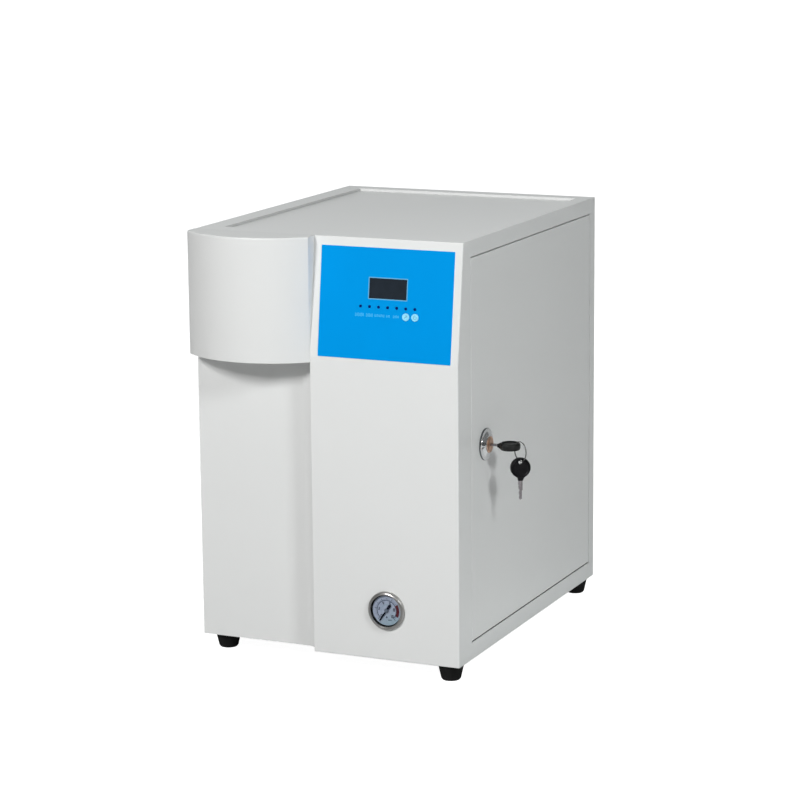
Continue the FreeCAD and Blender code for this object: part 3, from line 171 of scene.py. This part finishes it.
# ---------------------------------------------------------------- materials
def material(name, light, dark, spread=6.0, rough=(0.35, 0.45), metal=0.0, grain=900.0, relief=0.00004,
             stretch=(1, 1, 1), coat=0.0, coat_rough=0.1, spec=0.5, fleck=None, ior=1.5):
    """Principled finish whose colour, roughness and relief all come from noise
    in the piece's own coordinates. light and dark are the two ends of the
    colour variation; grain is the fine texture's scale per metre."""
    m = bpy.data.materials.new(name)
    m.use_nodes = True
    n, l = m.node_tree.nodes, m.node_tree.links
    n.clear()
    out = n.new("ShaderNodeOutputMaterial")
    p = n.new("ShaderNodeBsdfPrincipled")
    l.new(p.outputs[0], out.inputs["Surface"])
    p.inputs["Metallic"].default_value = metal
    p.inputs["IOR"].default_value = ior
    p.inputs["Specular IOR Level"].default_value = spec
    p.inputs["Coat Weight"].default_value = coat
    p.inputs["Coat Roughness"].default_value = coat_rough
    tc = n.new("ShaderNodeTexCoord")
    mp = n.new("ShaderNodeMapping")
    mp.inputs["Scale"].default_value = stretch
    l.new(tc.outputs["Object"], mp.inputs["Vector"])
    broad = n.new("ShaderNodeTexNoise")
    broad.inputs["Scale"].default_value = spread
    broad.inputs["Detail"].default_value = 3.0
    l.new(mp.outputs[0], broad.inputs["Vector"])
    ramp = n.new("ShaderNodeValToRGB")
    ramp.color_ramp.elements[0].position = 0.32
    ramp.color_ramp.elements[1].position = 0.68
    ramp.color_ramp.elements[0].color = dark
    ramp.color_ramp.elements[1].color = light
    l.new(broad.outputs["Fac"], ramp.inputs["Fac"])
    colour = ramp.outputs["Color"]
    fine = n.new("ShaderNodeTexNoise")
    fine.inputs["Scale"].default_value = grain
    fine.inputs["Detail"].default_value = 2.0
    l.new(mp.outputs[0], fine.inputs["Vector"])
    if fleck is not None:
        spots = n.new("ShaderNodeMapRange")
        spots.inputs["From Min"].default_value = fleck[1]
        spots.inputs["From Max"].default_value = fleck[2]
        l.new(fine.outputs["Fac"], spots.inputs["Value"])
        mix = n.new("ShaderNodeMix")
        mix.data_type = "RGBA"
        l.new(spots.outputs[0], mix.inputs["Factor"])
        l.new(colour, mix.inputs[6])
        mix.inputs[7].default_value = fleck[0]
        colour = mix.outputs[2]
    l.new(colour, p.inputs["Base Color"])
    rr = n.new("ShaderNodeMapRange")
    rr.inputs["From Min"].default_value = 0.3
    rr.inputs["From Max"].default_value = 0.7
    rr.inputs["To Min"].default_value = rough[0]
    rr.inputs["To Max"].default_value = rough[1]
    l.new(fine.outputs["Fac"], rr.inputs["Value"])
    l.new(rr.outputs[0], p.inputs["Roughness"])
    if relief:
        bump = n.new("ShaderNodeBump")
        bump.inputs["Strength"].default_value = 1.0
        bump.inputs["Distance"].default_value = relief
        l.new(fine.outputs["Fac"], bump.inputs["Height"])
        l.new(bump.outputs[0], p.inputs["Normal"])
    return m


def grey(v, tint=(1, 1, 1)):
    return (v * tint[0], v * tint[1], v * tint[2], 1.0)


WHITE = (0.995, 1.0, 0.992)
M = {}
M["shell"] = material("white_powder_coat", grey(0.80, WHITE), grey(0.785, WHITE), 3.0, (0.285, 0.30), grain=90.0, relief=0.000001)
M["hood"] = material("white_moulding", grey(0.775, WHITE), grey(0.765, WHITE), 4.0, (0.325, 0.345), grain=90.0, relief=0.000001)


def rim_coat_painted_shade():
    """The white coat, with painted shade: grey on the left border's inner wall, standing in for the shadow line
    there.
    """
    m = material("rim_powder_coat_painted_shade", grey(0.80, WHITE), grey(0.785, WHITE), 3.0, (0.285, 0.30), grain=90.0, relief=0.000001)
    n, l = m.node_tree.nodes, m.node_tree.links
    p = next(x for x in n if x.type == "BSDF_PRINCIPLED")
    ground = p.inputs["Base Color"].links[0].from_socket
    tc = n.new("ShaderNodeTexCoord")
    way = n.new("ShaderNodeSeparateXYZ")
    l.new(tc.outputs["Normal"], way.inputs[0])
    faces = n.new("ShaderNodeMath")
    faces.operation = "GREATER_THAN"
    faces.inputs[1].default_value = 0.6
    l.new(way.outputs["X"], faces.inputs[0])
    apart = n.new("ShaderNodeSeparateXYZ")
    l.new(tc.outputs["Object"], apart.inputs[0])
    left = n.new("ShaderNodeMath")
    left.operation = "LESS_THAN"
    left.inputs[1].default_value = -0.17
    l.new(apart.outputs["X"], left.inputs[0])
    both = n.new("ShaderNodeMath")
    both.operation = "MULTIPLY"
    l.new(faces.outputs[0], both.inputs[0])
    l.new(left.outputs[0], both.inputs[1])
    mix = n.new("ShaderNodeMix")
    mix.data_type = "RGBA"
    l.new(both.outputs[0], mix.inputs["Factor"])
    l.new(ground, mix.inputs[6])
    # painted shade: this grey on the left inner wall stands in for its shadow line
    mix.inputs[7].default_value = grey(0.66, WHITE)
    l.new(mix.outputs[2], p.inputs["Base Color"])
    return m


M["rim"] = rim_coat_painted_shade()
def jamb_coat_painted_shade():
    """Painted shade: near-black grey on the level flanges, where the door gap lies in shade; the white coat on the
    upright ones.
    """
    # painted shade: this dark grey stands in for the shade inside the door gap
    m = material("jamb_painted_shade", (0.075, 0.077, 0.077, 1), (0.055, 0.057, 0.057, 1), 20.0, (0.4, 0.5), 0.0, 900.0, 0.00001)
    n, l = m.node_tree.nodes, m.node_tree.links
    p = next(x for x in n if x.type == "BSDF_PRINCIPLED")
    ground = p.inputs["Base Color"].links[0].from_socket
    tc = n.new("ShaderNodeTexCoord")
    apart = n.new("ShaderNodeSeparateXYZ")
    l.new(tc.outputs["Normal"], apart.inputs[0])
    size = n.new("ShaderNodeMath")
    size.operation = "ABSOLUTE"
    l.new(apart.outputs["Y"], size.inputs[0])
    mix = n.new("ShaderNodeMix")
    mix.data_type = "RGBA"
    l.new(size.outputs[0], mix.inputs["Factor"])
    l.new(ground, mix.inputs[6])
    mix.inputs[7].default_value = grey(0.78, WHITE)
    l.new(mix.outputs[2], p.inputs["Base Color"])
    return m


M["jamb"] = jamb_coat_painted_shade()
M["zinc"] = material("zinc_plate", (0.62, 0.63, 0.64, 1), (0.50, 0.51, 0.53, 1), 40.0, (0.28, 0.42), 1.0, 1500.0, 0.00001, fleck=((0.70, 0.71, 0.70, 1), 0.5, 0.8))
M["chrome"] = material("polished_chrome", (0.74, 0.75, 0.77, 1), (0.66, 0.67, 0.69, 1), 120.0, (0.09, 0.16), 1.0, 2600.0, 0.0000012)
def needle_material():
    """Dark enamel arm, dull metal boss."""
    m = material("needle_enamel", (0.006, 0.006, 0.020, 1), (0.003, 0.004, 0.012, 1), 300.0, (0.3, 0.4), 0.0, 3000.0, 0.000004, spec=0.1)
    n, l = m.node_tree.nodes, m.node_tree.links
    p = next(x for x in n if x.type == "BSDF_PRINCIPLED")
    ground = p.inputs["Base Color"].links[0].from_socket
    tc = n.new("ShaderNodeTexCoord")
    flat = n.new("ShaderNodeVectorMath")
    flat.operation = "MULTIPLY"
    flat.inputs[1].default_value = (1, 0, 1)
    l.new(tc.outputs["Object"], flat.inputs[0])
    far = n.new("ShaderNodeVectorMath")
    far.operation = "DISTANCE"
    far.inputs[1].default_value = (GX, 0, GZ)
    l.new(flat.outputs[0], far.inputs[0])
    edge = n.new("ShaderNodeMapRange")
    edge.inputs["From Min"].default_value = 0.0024
    edge.inputs["From Max"].default_value = 0.0027
    l.new(far.outputs["Value"], edge.inputs["Value"])
    mix = n.new("ShaderNodeMix")
    mix.data_type = "RGBA"
    l.new(edge.outputs[0], mix.inputs["Factor"])
    mix.inputs[6].default_value = (0.16, 0.19, 0.24, 1)
    l.new(ground, mix.inputs[7])
    l.new(mix.outputs[2], p.inputs["Base Color"])
    return m


def rosette_chrome_painted_edge():
    """Polished chrome, with a painted dark reflection on the thin outer edge."""
    m = material("rosette_chrome", (0.86, 0.87, 0.88, 1), (0.80, 0.81, 0.82, 1), 120.0, (0.08, 0.11), 0.90, 2600.0, 0.0000006)
    n, l = m.node_tree.nodes, m.node_tree.links
    p = next(x for x in n if x.type == "BSDF_PRINCIPLED")
    ground = p.inputs["Base Color"].links[0].from_socket
    tc = n.new("ShaderNodeTexCoord")
    flat = n.new("ShaderNodeVectorMath")
    flat.operation = "MULTIPLY"
    flat.inputs[1].default_value = (0, 1, 1)
    l.new(tc.outputs["Object"], flat.inputs[0])
    far = n.new("ShaderNodeVectorMath")
    far.operation = "DISTANCE"
    far.inputs[1].default_value = (0, -0.1402, 0.2825)
    l.new(flat.outputs[0], far.inputs[0])
    edge = n.new("ShaderNodeMapRange")
    edge.inputs["From Min"].default_value = 0.0194
    edge.inputs["From Max"].default_value = 0.0199
    l.new(far.outputs["Value"], edge.inputs["Value"])
    mix = n.new("ShaderNodeMix")
    mix.data_type = "RGBA"
    l.new(edge.outputs[0], mix.inputs["Factor"])
    l.new(ground, mix.inputs[6])
    # painted dark reflection: the outer edge's wall is darkened in the colour
    mix.inputs[7].default_value = (0.16, 0.17, 0.18, 1)
    l.new(mix.outputs[2], p.inputs["Base Color"])
    return m


M["rosette"] = rosette_chrome_painted_edge()
M["bezel"] = material("bright_bezel", (0.49, 0.48, 0.47, 1), (0.42, 0.41, 0.40, 1), 90.0, (0.27, 0.32), 1.0, 2200.0, 0.000001)
M["brass"] = material("turned_brass", (0.82, 0.55, 0.40, 1), (0.52, 0.33, 0.25, 1), 220.0, (0.30, 0.45), 1.0, 2500.0, 0.00001)
M["steel"] = material("nickel_plate", (0.36, 0.335, 0.345, 1), (0.23, 0.21, 0.225, 1), 300.0, (0.18, 0.34), 1.0, 2800.0, 0.000006, stretch=(1, 1, 0.25))
M["wire"] = material("spring_wire", (0.25, 0.25, 0.245, 1), (0.13, 0.13, 0.13, 1), 500.0, (0.30, 0.42), 1.0, 4000.0, 0.000003)
M["black"] = material("black_moulding", (0.008, 0.008, 0.009, 1), (0.004, 0.004, 0.005, 1), 160.0, (0.34, 0.46), 0.0, 3200.0, 0.00001, spec=0.14)
# painted sheen: a lighter copy of the black moulding for the main key's head, standing in for the reflection on
# its top face
M["black_painted_sheen"] = material("black_key_moulding_painted_sheen", (0.018, 0.018, 0.018, 1), (0.011, 0.011, 0.011, 1), 160.0, (0.30, 0.42), 0.0, 3200.0, 0.00001, spec=0.24)
M["inlet"] = material("black_inlet_moulding", (0.022, 0.022, 0.024, 1), (0.014, 0.014, 0.015, 1), 90.0, (0.4, 0.55), 0.0, 1800.0, 0.00002)
M["rubber"] = material("black_rubber", (0.014, 0.014, 0.014, 1), (0.007, 0.007, 0.007, 1), 70.0, (0.6, 0.8), 0.0, 1600.0, 0.00005, spec=0.12, fleck=((0.022, 0.022, 0.021, 1), 0.62, 0.85))
M["window"] = material("smoked_window", (0.017, 0.024, 0.034, 1), (0.014, 0.020, 0.028, 1), 60.0, (0.06, 0.10), 0.0, 900.0, 0.000002)
M["cap"] = material("pale_key_cap", rgb(150, 226, 255), rgb(142, 220, 250), 200.0, (0.3, 0.4), 0.0, 2400.0, 0.00001, spec=0.15)
M["lamp"] = material("unlit_lamp", (0.001, 0.018, 0.17, 1), (0.001, 0.012, 0.12, 1), 300.0, (0.2, 0.3), 0.0, 2600.0, 0.00001, spec=0.15)
M["board"] = material("solder_mask", (0.03, 0.20, 0.09, 1), (0.015, 0.12, 0.05, 1), 120.0, (0.25, 0.4), 0.0, 1500.0, 0.00003)
GX, GY, GZ = 0.0541, -0.2255, 0.0833
M["needle"] = needle_material()
M["gauge_black"] = material("gauge_enamel", (0.035, 0.035, 0.036, 1), (0.020, 0.020, 0.021, 1), 60.0, (0.35, 0.5), 0.0, 1500.0, 0.00002)
M["plastic"] = material("white_cartridge", (0.86, 0.87, 0.87, 1), (0.80, 0.81, 0.81, 1), 14.0, (0.4, 0.52), 0.0, 900.0, 0.00003)
M["resin_blue"] = material("blue_cartridge", (0.10, 0.28, 0.55, 1), (0.07, 0.22, 0.46, 1), 14.0, (0.35, 0.5), 0.0, 900.0, 0.00003)
M["fitting"] = material("white_fitting", (0.84, 0.85, 0.85, 1), (0.76, 0.77, 0.78, 1), 60.0, (0.3, 0.42), 0.0, 1400.0, 0.00002)
M["tube"] = material("tube_polyethylene", (0.78, 0.82, 0.86, 1), (0.66, 0.72, 0.78, 1), 40.0, (0.3, 0.45), 0.0, 900.0, 0.00001)
M["pump"] = material("motor_enamel", (0.05, 0.05, 0.055, 1), (0.03, 0.03, 0.034, 1), 30.0, (0.35, 0.5), 0.0, 1300.0, 0.00004)
M["rotor"] = material("laminated_steel", (0.45, 0.45, 0.46, 1), (0.32, 0.32, 0.33, 1), 50.0, (0.35, 0.5), 1.0, 1300.0, 0.00003, stretch=(1, 12, 1))
M["valve"] = material("valve_moulding", (0.78, 0.78, 0.76, 1), (0.66, 0.66, 0.64, 1), 40.0, (0.4, 0.5), 0.0, 1300.0, 0.00002)


def film_material():
    """Printed film: blue ink on its face, the clear pale sheet at the cut edges."""
    m = material("blue_printed_film", rgb(0, 149, 227), rgb(0, 147, 224), 9.0, (0.34, 0.42), 0.0, 3000.0, 0.000006, spec=0.015)
    n, l = m.node_tree.nodes, m.node_tree.links
    p = next(x for x in n if x.type == "BSDF_PRINCIPLED")
    ink = p.inputs["Base Color"].links[0].from_socket
    tc = n.new("ShaderNodeTexCoord")
    dot = n.new("ShaderNodeVectorMath")
    dot.operation = "DOT_PRODUCT"
    dot.inputs[1].default_value = (0.0, -math.cos(LEAN), math.sin(LEAN))
    l.new(tc.outputs["Normal"], dot.inputs[0])
    face = n.new("ShaderNodeMath")
    face.operation = "GREATER_THAN"
    face.inputs[1].default_value = 0.7
    l.new(dot.outputs["Value"], face.inputs[0])
    # the holes in its middle are printed to the edge
    apart = n.new("ShaderNodeSeparateXYZ")
    l.new(tc.outputs["Object"], apart.inputs[0])
    inside = face.outputs[0]
    for axis, low, high in (("X", -0.030, 0.136), ("Z", 0.400, 0.522)):
        for op, edge in (("LESS_THAN", low), ("GREATER_THAN", high)):
            side = n.new("ShaderNodeMath")
            side.operation = op
            side.inputs[1].default_value = edge
            l.new(apart.outputs[axis], side.inputs[0])
            if axis == "X" and op == "LESS_THAN":
                rim = side.outputs[0]
            else:
                both = n.new("ShaderNodeMath")
                both.operation = "MAXIMUM"
                l.new(rim, both.inputs[0])
                l.new(side.outputs[0], both.inputs[1])
                rim = both.outputs[0]
    middle = n.new("ShaderNodeMath")
    middle.operation = "SUBTRACT"
    middle.inputs[0].default_value = 1.0
    l.new(rim, middle.inputs[1])
    blue = n.new("ShaderNodeMath")
    blue.operation = "MAXIMUM"
    l.new(inside, blue.inputs[0])
    l.new(middle.outputs[0], blue.inputs[1])
    mix = n.new("ShaderNodeMix")
    mix.data_type = "RGBA"
    mix.inputs[6].default_value = rgb(222, 240, 250)
    l.new(ink, mix.inputs[7])
    l.new(blue.outputs[0], mix.inputs["Factor"])
    l.new(mix.outputs[2], p.inputs["Base Color"])
    return m


LEAN = math.radians(7.183)
M["film"] = film_material()


def dial_material():
    """Pale dial, faintly teal toward its lower right."""
    m = material("printed_dial", rgb(186, 194, 214), rgb(178, 186, 206), 260.0, (0.45, 0.6), 0.0, 3000.0, 0.000005)
    n, l = m.node_tree.nodes, m.node_tree.links
    p = next(x for x in n if x.type == "BSDF_PRINCIPLED")
    ground = p.inputs["Base Color"].links[0].from_socket
    tc = n.new("ShaderNodeTexCoord")
    dot = n.new("ShaderNodeVectorMath")
    dot.operation = "DOT_PRODUCT"
    dot.inputs[1].default_value = (0.40, 0.0, -0.9)
    l.new(tc.outputs["Object"], dot.inputs[0])
    here = n.new("ShaderNodeMapRange")
    centre = 0.40 * GX - 0.9 * GZ
    here.inputs["From Min"].default_value = centre + 0.002
    here.inputs["From Max"].default_value = centre + 0.018
    here.inputs["To Max"].default_value = 0.75
    l.new(dot.outputs["Value"], here.inputs["Value"])
    mix = n.new("ShaderNodeMix")
    mix.data_type = "RGBA"
    l.new(here.outputs[0], mix.inputs["Factor"])
    l.new(ground, mix.inputs[6])
    mix.inputs[7].default_value = rgb(160, 190, 200)
    l.new(mix.outputs[2], p.inputs["Base Color"])
    return m


M["dial"] = dial_material()


def lens_material():
    """Thin clear cover: clear straight on, with gloss at a slant."""
    m = bpy.data.materials.new("clear_cover")
    m.use_nodes = True
    n, l = m.node_tree.nodes, m.node_tree.links
    n.clear()
    out = n.new("ShaderNodeOutputMaterial")
    mix = n.new("ShaderNodeMixShader")
    clear = n.new("ShaderNodeBsdfTransparent")
    gloss = n.new("ShaderNodeBsdfGlossy")
    gloss.inputs["Roughness"].default_value = 0.06
    fres = n.new("ShaderNodeFresnel")
    fres.inputs["IOR"].default_value = 1.18
    tc = n.new("ShaderNodeTexCoord")
    noise = n.new("ShaderNodeTexNoise")
    noise.inputs["Scale"].default_value = 80.0
    tint = n.new("ShaderNodeValToRGB")
    tint.color_ramp.elements[0].color = (0.955, 0.965, 0.975, 1)
    tint.color_ramp.elements[1].color = (0.985, 0.99, 0.99, 1)
    l.new(tc.outputs["Object"], noise.inputs["Vector"])
    l.new(noise.outputs["Fac"], tint.inputs["Fac"])
    l.new(tint.outputs["Color"], clear.inputs["Color"])
    l.new(fres.outputs[0], mix.inputs["Fac"])
    l.new(clear.outputs[0], mix.inputs[1])
    l.new(gloss.outputs[0], mix.inputs[2])
    l.new(mix.outputs[0], out.inputs["Surface"])
    return m


M["lens"] = lens_material()


def ink(name, colour):
    dark = tuple(c * 0.86 for c in colour[:3]) + (1.0,)
    return material(name, colour, dark, 700.0, (0.4, 0.5), 0.0, 3500.0, 0.000003)


M["ink_pale"] = ink("pale_print", rgb(62, 190, 248))
M["ink_frame"] = ink("frame_print", rgb(96, 172, 214))
M["ink_icon"] = ink("icon_print", rgb(122, 184, 210))
M["ink_ring"] = ink("button_ring_print", rgb(190, 226, 250))
M["ink_dark"] = ink("dial_print", (0.022, 0.026, 0.060, 1))
M["ink_soft"] = ink("dial_print_soft", (0.09, 0.12, 0.18, 1))
M["ink_red"] = ink("dial_red", (0.115, 0.002, 0.011, 1))
M["ink_unit"] = ink("dial_unit", (0.12, 0.19, 0.24, 1))
M["ink_teal"] = ink("dial_teal", (0.20, 0.42, 0.45, 1))

FINISH = {
    "shell": ["right_shell", "recess_panel", "left_side_panel", "rear_panel", "top_panel", "side_door"],
    "rim": ["top_rim"],
    "jamb": ["door_jamb"],
    "hood": ["dispense_hood", "hood_bottom_plate"],
    "zinc": ["base_pan", "inner_mounting_plate", "gauge_clamp", "board_standoffs", "hinge_pins", "foot_screws", "rear_panel_screws", "power_supply"],
    "rosette": ["lock_rosette"],
    "chrome": ["cam_screw", "lock_nut", "inlet_pins"],
    "bezel": ["gauge_bezel"],
    "brass": ["lock_housing", "lock_plug", "gauge_movement"],
    "steel": ["key_blade", "spare_key_blade", "lock_cam"],
    "black_painted_sheen": ["key_head"],
    "black": ["spare_key_head"],
    "inlet": ["power_entry", "power_rocker"],
    "rubber": ["rubber_feet", "door_bumpers", "gauge_seal"],
    "film": ["control_overlay"],
    "window": ["display_window"],
    "cap": ["button_left", "button_right"],
    "lamp": ["indicator_lamps"],
    "board": ["control_board"],
    "dial": ["gauge_dial"],
    "needle": ["gauge_needle"],
    "lens": ["gauge_lens"],
    "gauge_black": ["gauge_case"],
    "plastic": ["sediment_filter", "carbon_filter", "membrane_housing", "filter_heads", "retaining_clips", "dispense_nozzle"],
    "resin_blue": ["deionizing_column", "polishing_column"],
    "valve": ["solenoid_valves"],
    "fitting": ["bulkhead_fittings"],
    "tube": ["water_tubes"],
    "pump": ["booster_pump"],
    "rotor": ["pump_rotor"],
}
for key, names in FINISH.items():
    for name in names:
        ob = NODES[name]
        for i in range(len(ob.material_slots)):
            ob.material_slots[i].material = M[key]


# ---------------------------------------------------------------- piece making
def piece(name, bm, mat, body, smooth=False):
    bmesh.ops.recalc_face_normals(bm, faces=bm.faces[:])
    mesh = bpy.data.meshes.new(name)
    bm.to_mesh(mesh)
    bm.free()
    for f in mesh.polygons:
        f.use_smooth = smooth
    mesh.materials.append(mat)
    ob = bpy.data.objects.new(name, mesh)
    scene.collection.objects.link(ob)
    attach(ob, body)
    return ob


def flat_shape(bm, outer, holes, place, low, high):
    """A thin closed plate: its outer loop and holes are lists of (u, v)."""
    def ring(loop, h):
        return [bm.verts.new(place(u, v, h)) for u, v in loop]
    rings = [(ring(lp, low), ring(lp, high)) for lp in [outer] + holes]
    for a, b in rings:
        k = len(a)
        for i in range(k):
            bm.faces.new((a[i], a[(i + 1) % k], b[(i + 1) % k], b[i]))
    for side in (0, 1):
        if not holes:
            bm.faces.new(rings[0][side])
        else:
            inner = rings[1][side]
            out = rings[0][side]
            k = len(out)
            for i in range(k):
                bm.faces.new((out[i], out[(i + 1) % k], inner[(i + 1) % k], inner[i]))


def on_face(u, v, h):
    """A spot on the leaning face: across and up in mm, h above the sheet."""
    s, c = math.sin(LEAN), math.cos(LEAN)
    return Vector(((u + 150.3) / 1000, (-225.5 + v * s - h * c) / 1000, (394.0 + v * c + h * s) / 1000))


def on_dial(u, v, h):
    """A spot on the gauge: across and up in mm from its centre, h out of the front."""
    return Vector((GX + u / 1000, GY - h / 1000, GZ + v / 1000))


def loop_rect(x0, y0, x1, y1, r=0.0, steps=4):
    if r <= 0:
        return [(x0, y0), (x1, y0), (x1, y1), (x0, y1)]
    pts = []
    for cx, cy, a0 in ((x1 - r, y0 + r, -90), (x1 - r, y1 - r, 0), (x0 + r, y1 - r, 90), (x0 + r, y0 + r, 180)):
        for i in range(steps + 1):
            a = math.radians(a0 + 90.0 * i / steps)
            pts.append((cx + r * math.cos(a), cy + r * math.sin(a)))
    return pts


def loop_circle(cx, cy, r, n=40):
    return [(cx + r * math.cos(2 * math.pi * i / n), cy + r * math.sin(2 * math.pi * i / n)) for i in range(n)]


def arc_band(cx, cy, r0, r1, a0, a1, n=40):
    a = [math.radians(a0 + (a1 - a0) * i / n) for i in range(n + 1)]
    return [(cx + r1 * math.cos(t), cy + r1 * math.sin(t)) for t in a] + [(cx + r0 * math.cos(t), cy + r0 * math.sin(t)) for t in reversed(a)]


def bar(x0, y0, x1, y1, w):
    dx, dy = x1 - x0, y1 - y0
    k = math.hypot(dx, dy)
    nx, ny = -dy / k * w / 2, dx / k * w / 2
    return [(x0 + nx, y0 + ny), (x0 - nx, y0 - ny), (x1 - nx, y1 - ny), (x1 + nx, y1 + ny)]


# panel print: a pale line round the window, pale marks under the lamps
bm = bmesh.new()
flat_shape(bm, loop_rect(-120.8, 73.75, -69.0, 100.65, 0.8), [loop_rect(-119.6, 74.95, -70.2, 99.45, 0.4)], on_face, 0.58, 0.64)
piece("window_outline", bm, M["ink_frame"], "cabinet")

bm = bmesh.new()
for x0, x1, high in ((-136.6, -125.0, 2.3), (-122.0, -113.8, 2.2), (-110.8, -97.4, 1.7), (-95.6, -91.0, 1.5), (-86.4, -79.0, 1.8)):
    x, i = x0, 0
    while x < x1:
        tall = high * (1.0, 0.72, 0.86)[i % 3]
        flat_shape(bm, bar(x, 54.5 - tall, x, 54.5 + tall, 0.62), [], on_face, 0.58, 0.62)
        if i % 2 == 0 and x + 1.2 < x1:
            flat_shape(bm, bar(x + 0.3, 54.5 + tall * (0.8 if i % 4 else -0.8), x + 1.25, 54.5 + tall * (0.8 if i % 4 else -0.8), 0.5), [], on_face, 0.58, 0.615)
        x += 1.35
        i += 1
piece("lamp_marks", bm, M["ink_pale"], "cabinet")

# button prints: plain marks on the left cap, a pale ring and a mark on the right one
for name, body, cx in (("button_left_print", "left_button", -70.0), ("button_right_print", "right_button", -58.0)):
    bm = bmesh.new()
    cy = 54.87
    if body == "left_button":
        flat_shape(bm, bar(cx - 1.8, cy - 1.5, cx + 1.7, cy + 1.5, 1.1), [], on_face, 1.38, 1.425)
        flat_shape(bm, bar(cx + 1.9, cy + 1.75, cx - 0.4, cy + 1.75, 0.8), [], on_face, 1.38, 1.42)
        flat_shape(bm, bar(cx + 1.8, cy + 1.9, cx + 1.8, cy - 0.5, 0.8), [], on_face, 1.38, 1.43)
    else:
        flat_shape(bm, arc_band(cx, cy, 1.4, 2.4, 125, 415, 30), [], on_face, 1.38, 1.425)
        flat_shape(bm, bar(cx, cy + 0.1, cx, cy + 2.9, 0.8), [], on_face, 1.38, 1.43)
    piece(name, bm, M["ink_icon"], body)

# gauge print
bm = bmesh.new()
flat_shape(bm, arc_band(0, 0, 12.3, 13.2, 225, -45, 90), [], on_dial, 0.28, 0.33)
for i in range(51):
    a = math.radians(225 - 270 * i / 50.0)
    if i % 10 == 0:
        r0, r1, w = 13.0, 16.6, 0.7
    elif i % 5 == 0:
        r0, r1, w = 13.0, 15.8, 0.45
    else:
        r0, r1, w = 13.0, 15.0, 0.28
    flat_shape(bm, bar(r0 * math.cos(a), r0 * math.sin(a), r1 * math.cos(a), r1 * math.sin(a), w), [], on_dial, 0.28, 0.34)
piece("dial_scale", bm, M["ink_soft"], "cabinet")

bm = bmesh.new()
flat_shape(bm, arc_band(0, 0, 13.1, 16.9, 31, -27, 40), [], on_dial, 0.28, 0.36)
piece("dial_red_zone", bm, M["ink_red"], "cabinet")

bm = bmesh.new()
flat_shape(bm, arc_band(0, 0, 7.4, 7.65, 225, -45, 70), [], on_dial, 0.28, 0.32)
for i in range(16):
    a = math.radians(225 - 270 * i / 15.0)
    flat_shape(bm, bar(6.6 * math.cos(a), 6.6 * math.sin(a), 7.5 * math.cos(a), 7.5 * math.sin(a), 0.2), [], on_dial, 0.28, 0.325)
piece("dial_inner_scale", bm, M["ink_teal"], "cabinet")

bm = bmesh.new()
flat_shape(bm, loop_circle(0.0, -8.7, 1.25, 20), [], on_dial, 0.28, 0.335)
piece("dial_stud_mark", bm, M["ink_soft"], "cabinet")

bm = bmesh.new()
flat_shape(bm, bar(2.0, -12.0, 4.0, -12.0, 1.5), [], on_dial, 0.28, 0.33)
flat_shape(bm, bar(4.5, -11.8, 6.6, -11.8, 1.5), [], on_dial, 0.28, 0.335)
piece("dial_unit_mark", bm, M["ink_unit"], "cabinet")

SEGMENTS = {
    "0": "abcdef", "1": "bc", "2": "abged", "4": "fgbc", "6": "afgcde", "8": "abcdefg",
}
WHERE = {
    "a": ((0, 2), (1, 2)), "b": ((1, 2), (1, 1)), "c": ((1, 1), (1, 0)), "d": ((0, 0), (1, 0)),
    "e": ((0, 1), (0, 0)), "f": ((0, 2), (0, 1)), "g": ((0, 1), (1, 1)),
}
bm = bmesh.new()
for i, word in enumerate(("0", "2", "4", "6", "8", "10")):
    a = math.radians(225 - 54 * i)
    cx, cy = 10.0 * math.cos(a), 10.0 * math.sin(a)
    for j, digit in enumerate(word):
        x0 = cx - 0.75 + (j - (len(word) - 1) / 2.0) * 2.2
        for seg in SEGMENTS[digit]:
            (xa, ya), (xb, yb) = WHERE[seg]
            pa = (x0 + xa * 1.5, cy - 1.6 + ya * 1.6)
            pb = (x0 + xb * 1.5, cy - 1.6 + yb * 1.6)
            k = math.hypot(pb[0] - pa[0], pb[1] - pa[1])
            ex, ey = (pb[0] - pa[0]) / k * 0.25, (pb[1] - pa[1]) / k * 0.25
            flat_shape(bm, bar(pa[0] - ex, pa[1] - ey, pb[0] + ex, pb[1] + ey, 0.72), [], on_dial, 0.28, 0.345)
piece("dial_numbers", bm, M["ink_dark"], "cabinet")

# two-turn split ring in the place of the plain one
KX = 0.1903
t0 = math.radians(-34.0)
ring_axis = Vector((-math.sin(t0), math.cos(t0), 0))
ring_out = Vector((math.cos(t0), math.sin(t0), 0))
ring_centre = Vector((KX, -0.1402, 0.2825 - 0.0042)) + ring_out * 0.00997
bm = bmesh.new()
turns, steps, sides, wire, big = 1.92, 150, 12, 0.00048, 0.0120
rings = []
for i in range(steps + 1):
    f = i / steps
    a = 2 * math.pi * turns * f + math.radians(100)
    side = (f - 0.5) * 0.00115
    radial = ring_out * math.cos(a) + Vector((0, 0, 1)) * math.sin(a)
    mid = ring_centre + radial * big + ring_axis * side
    grow = 1.0 if 0 < i < steps else 0.55
    rings.append([bm.verts.new(mid + (radial * math.cos(b) + ring_axis * math.sin(b)) * wire * grow) for b in [2 * math.pi * k / sides for k in range(sides)]])
for a, b in zip(rings, rings[1:]):
    for k in range(sides):
        bm.faces.new((a[k], a[(k + 1) % sides], b[(k + 1) % sides], b[k]))
bm.faces.new(rings[0])
bm.faces.new(rings[-1])
split = piece("split_ring", bm, M["wire"], "ring", smooth=True)
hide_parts("key_ring")

bpy.context.view_layer.update()
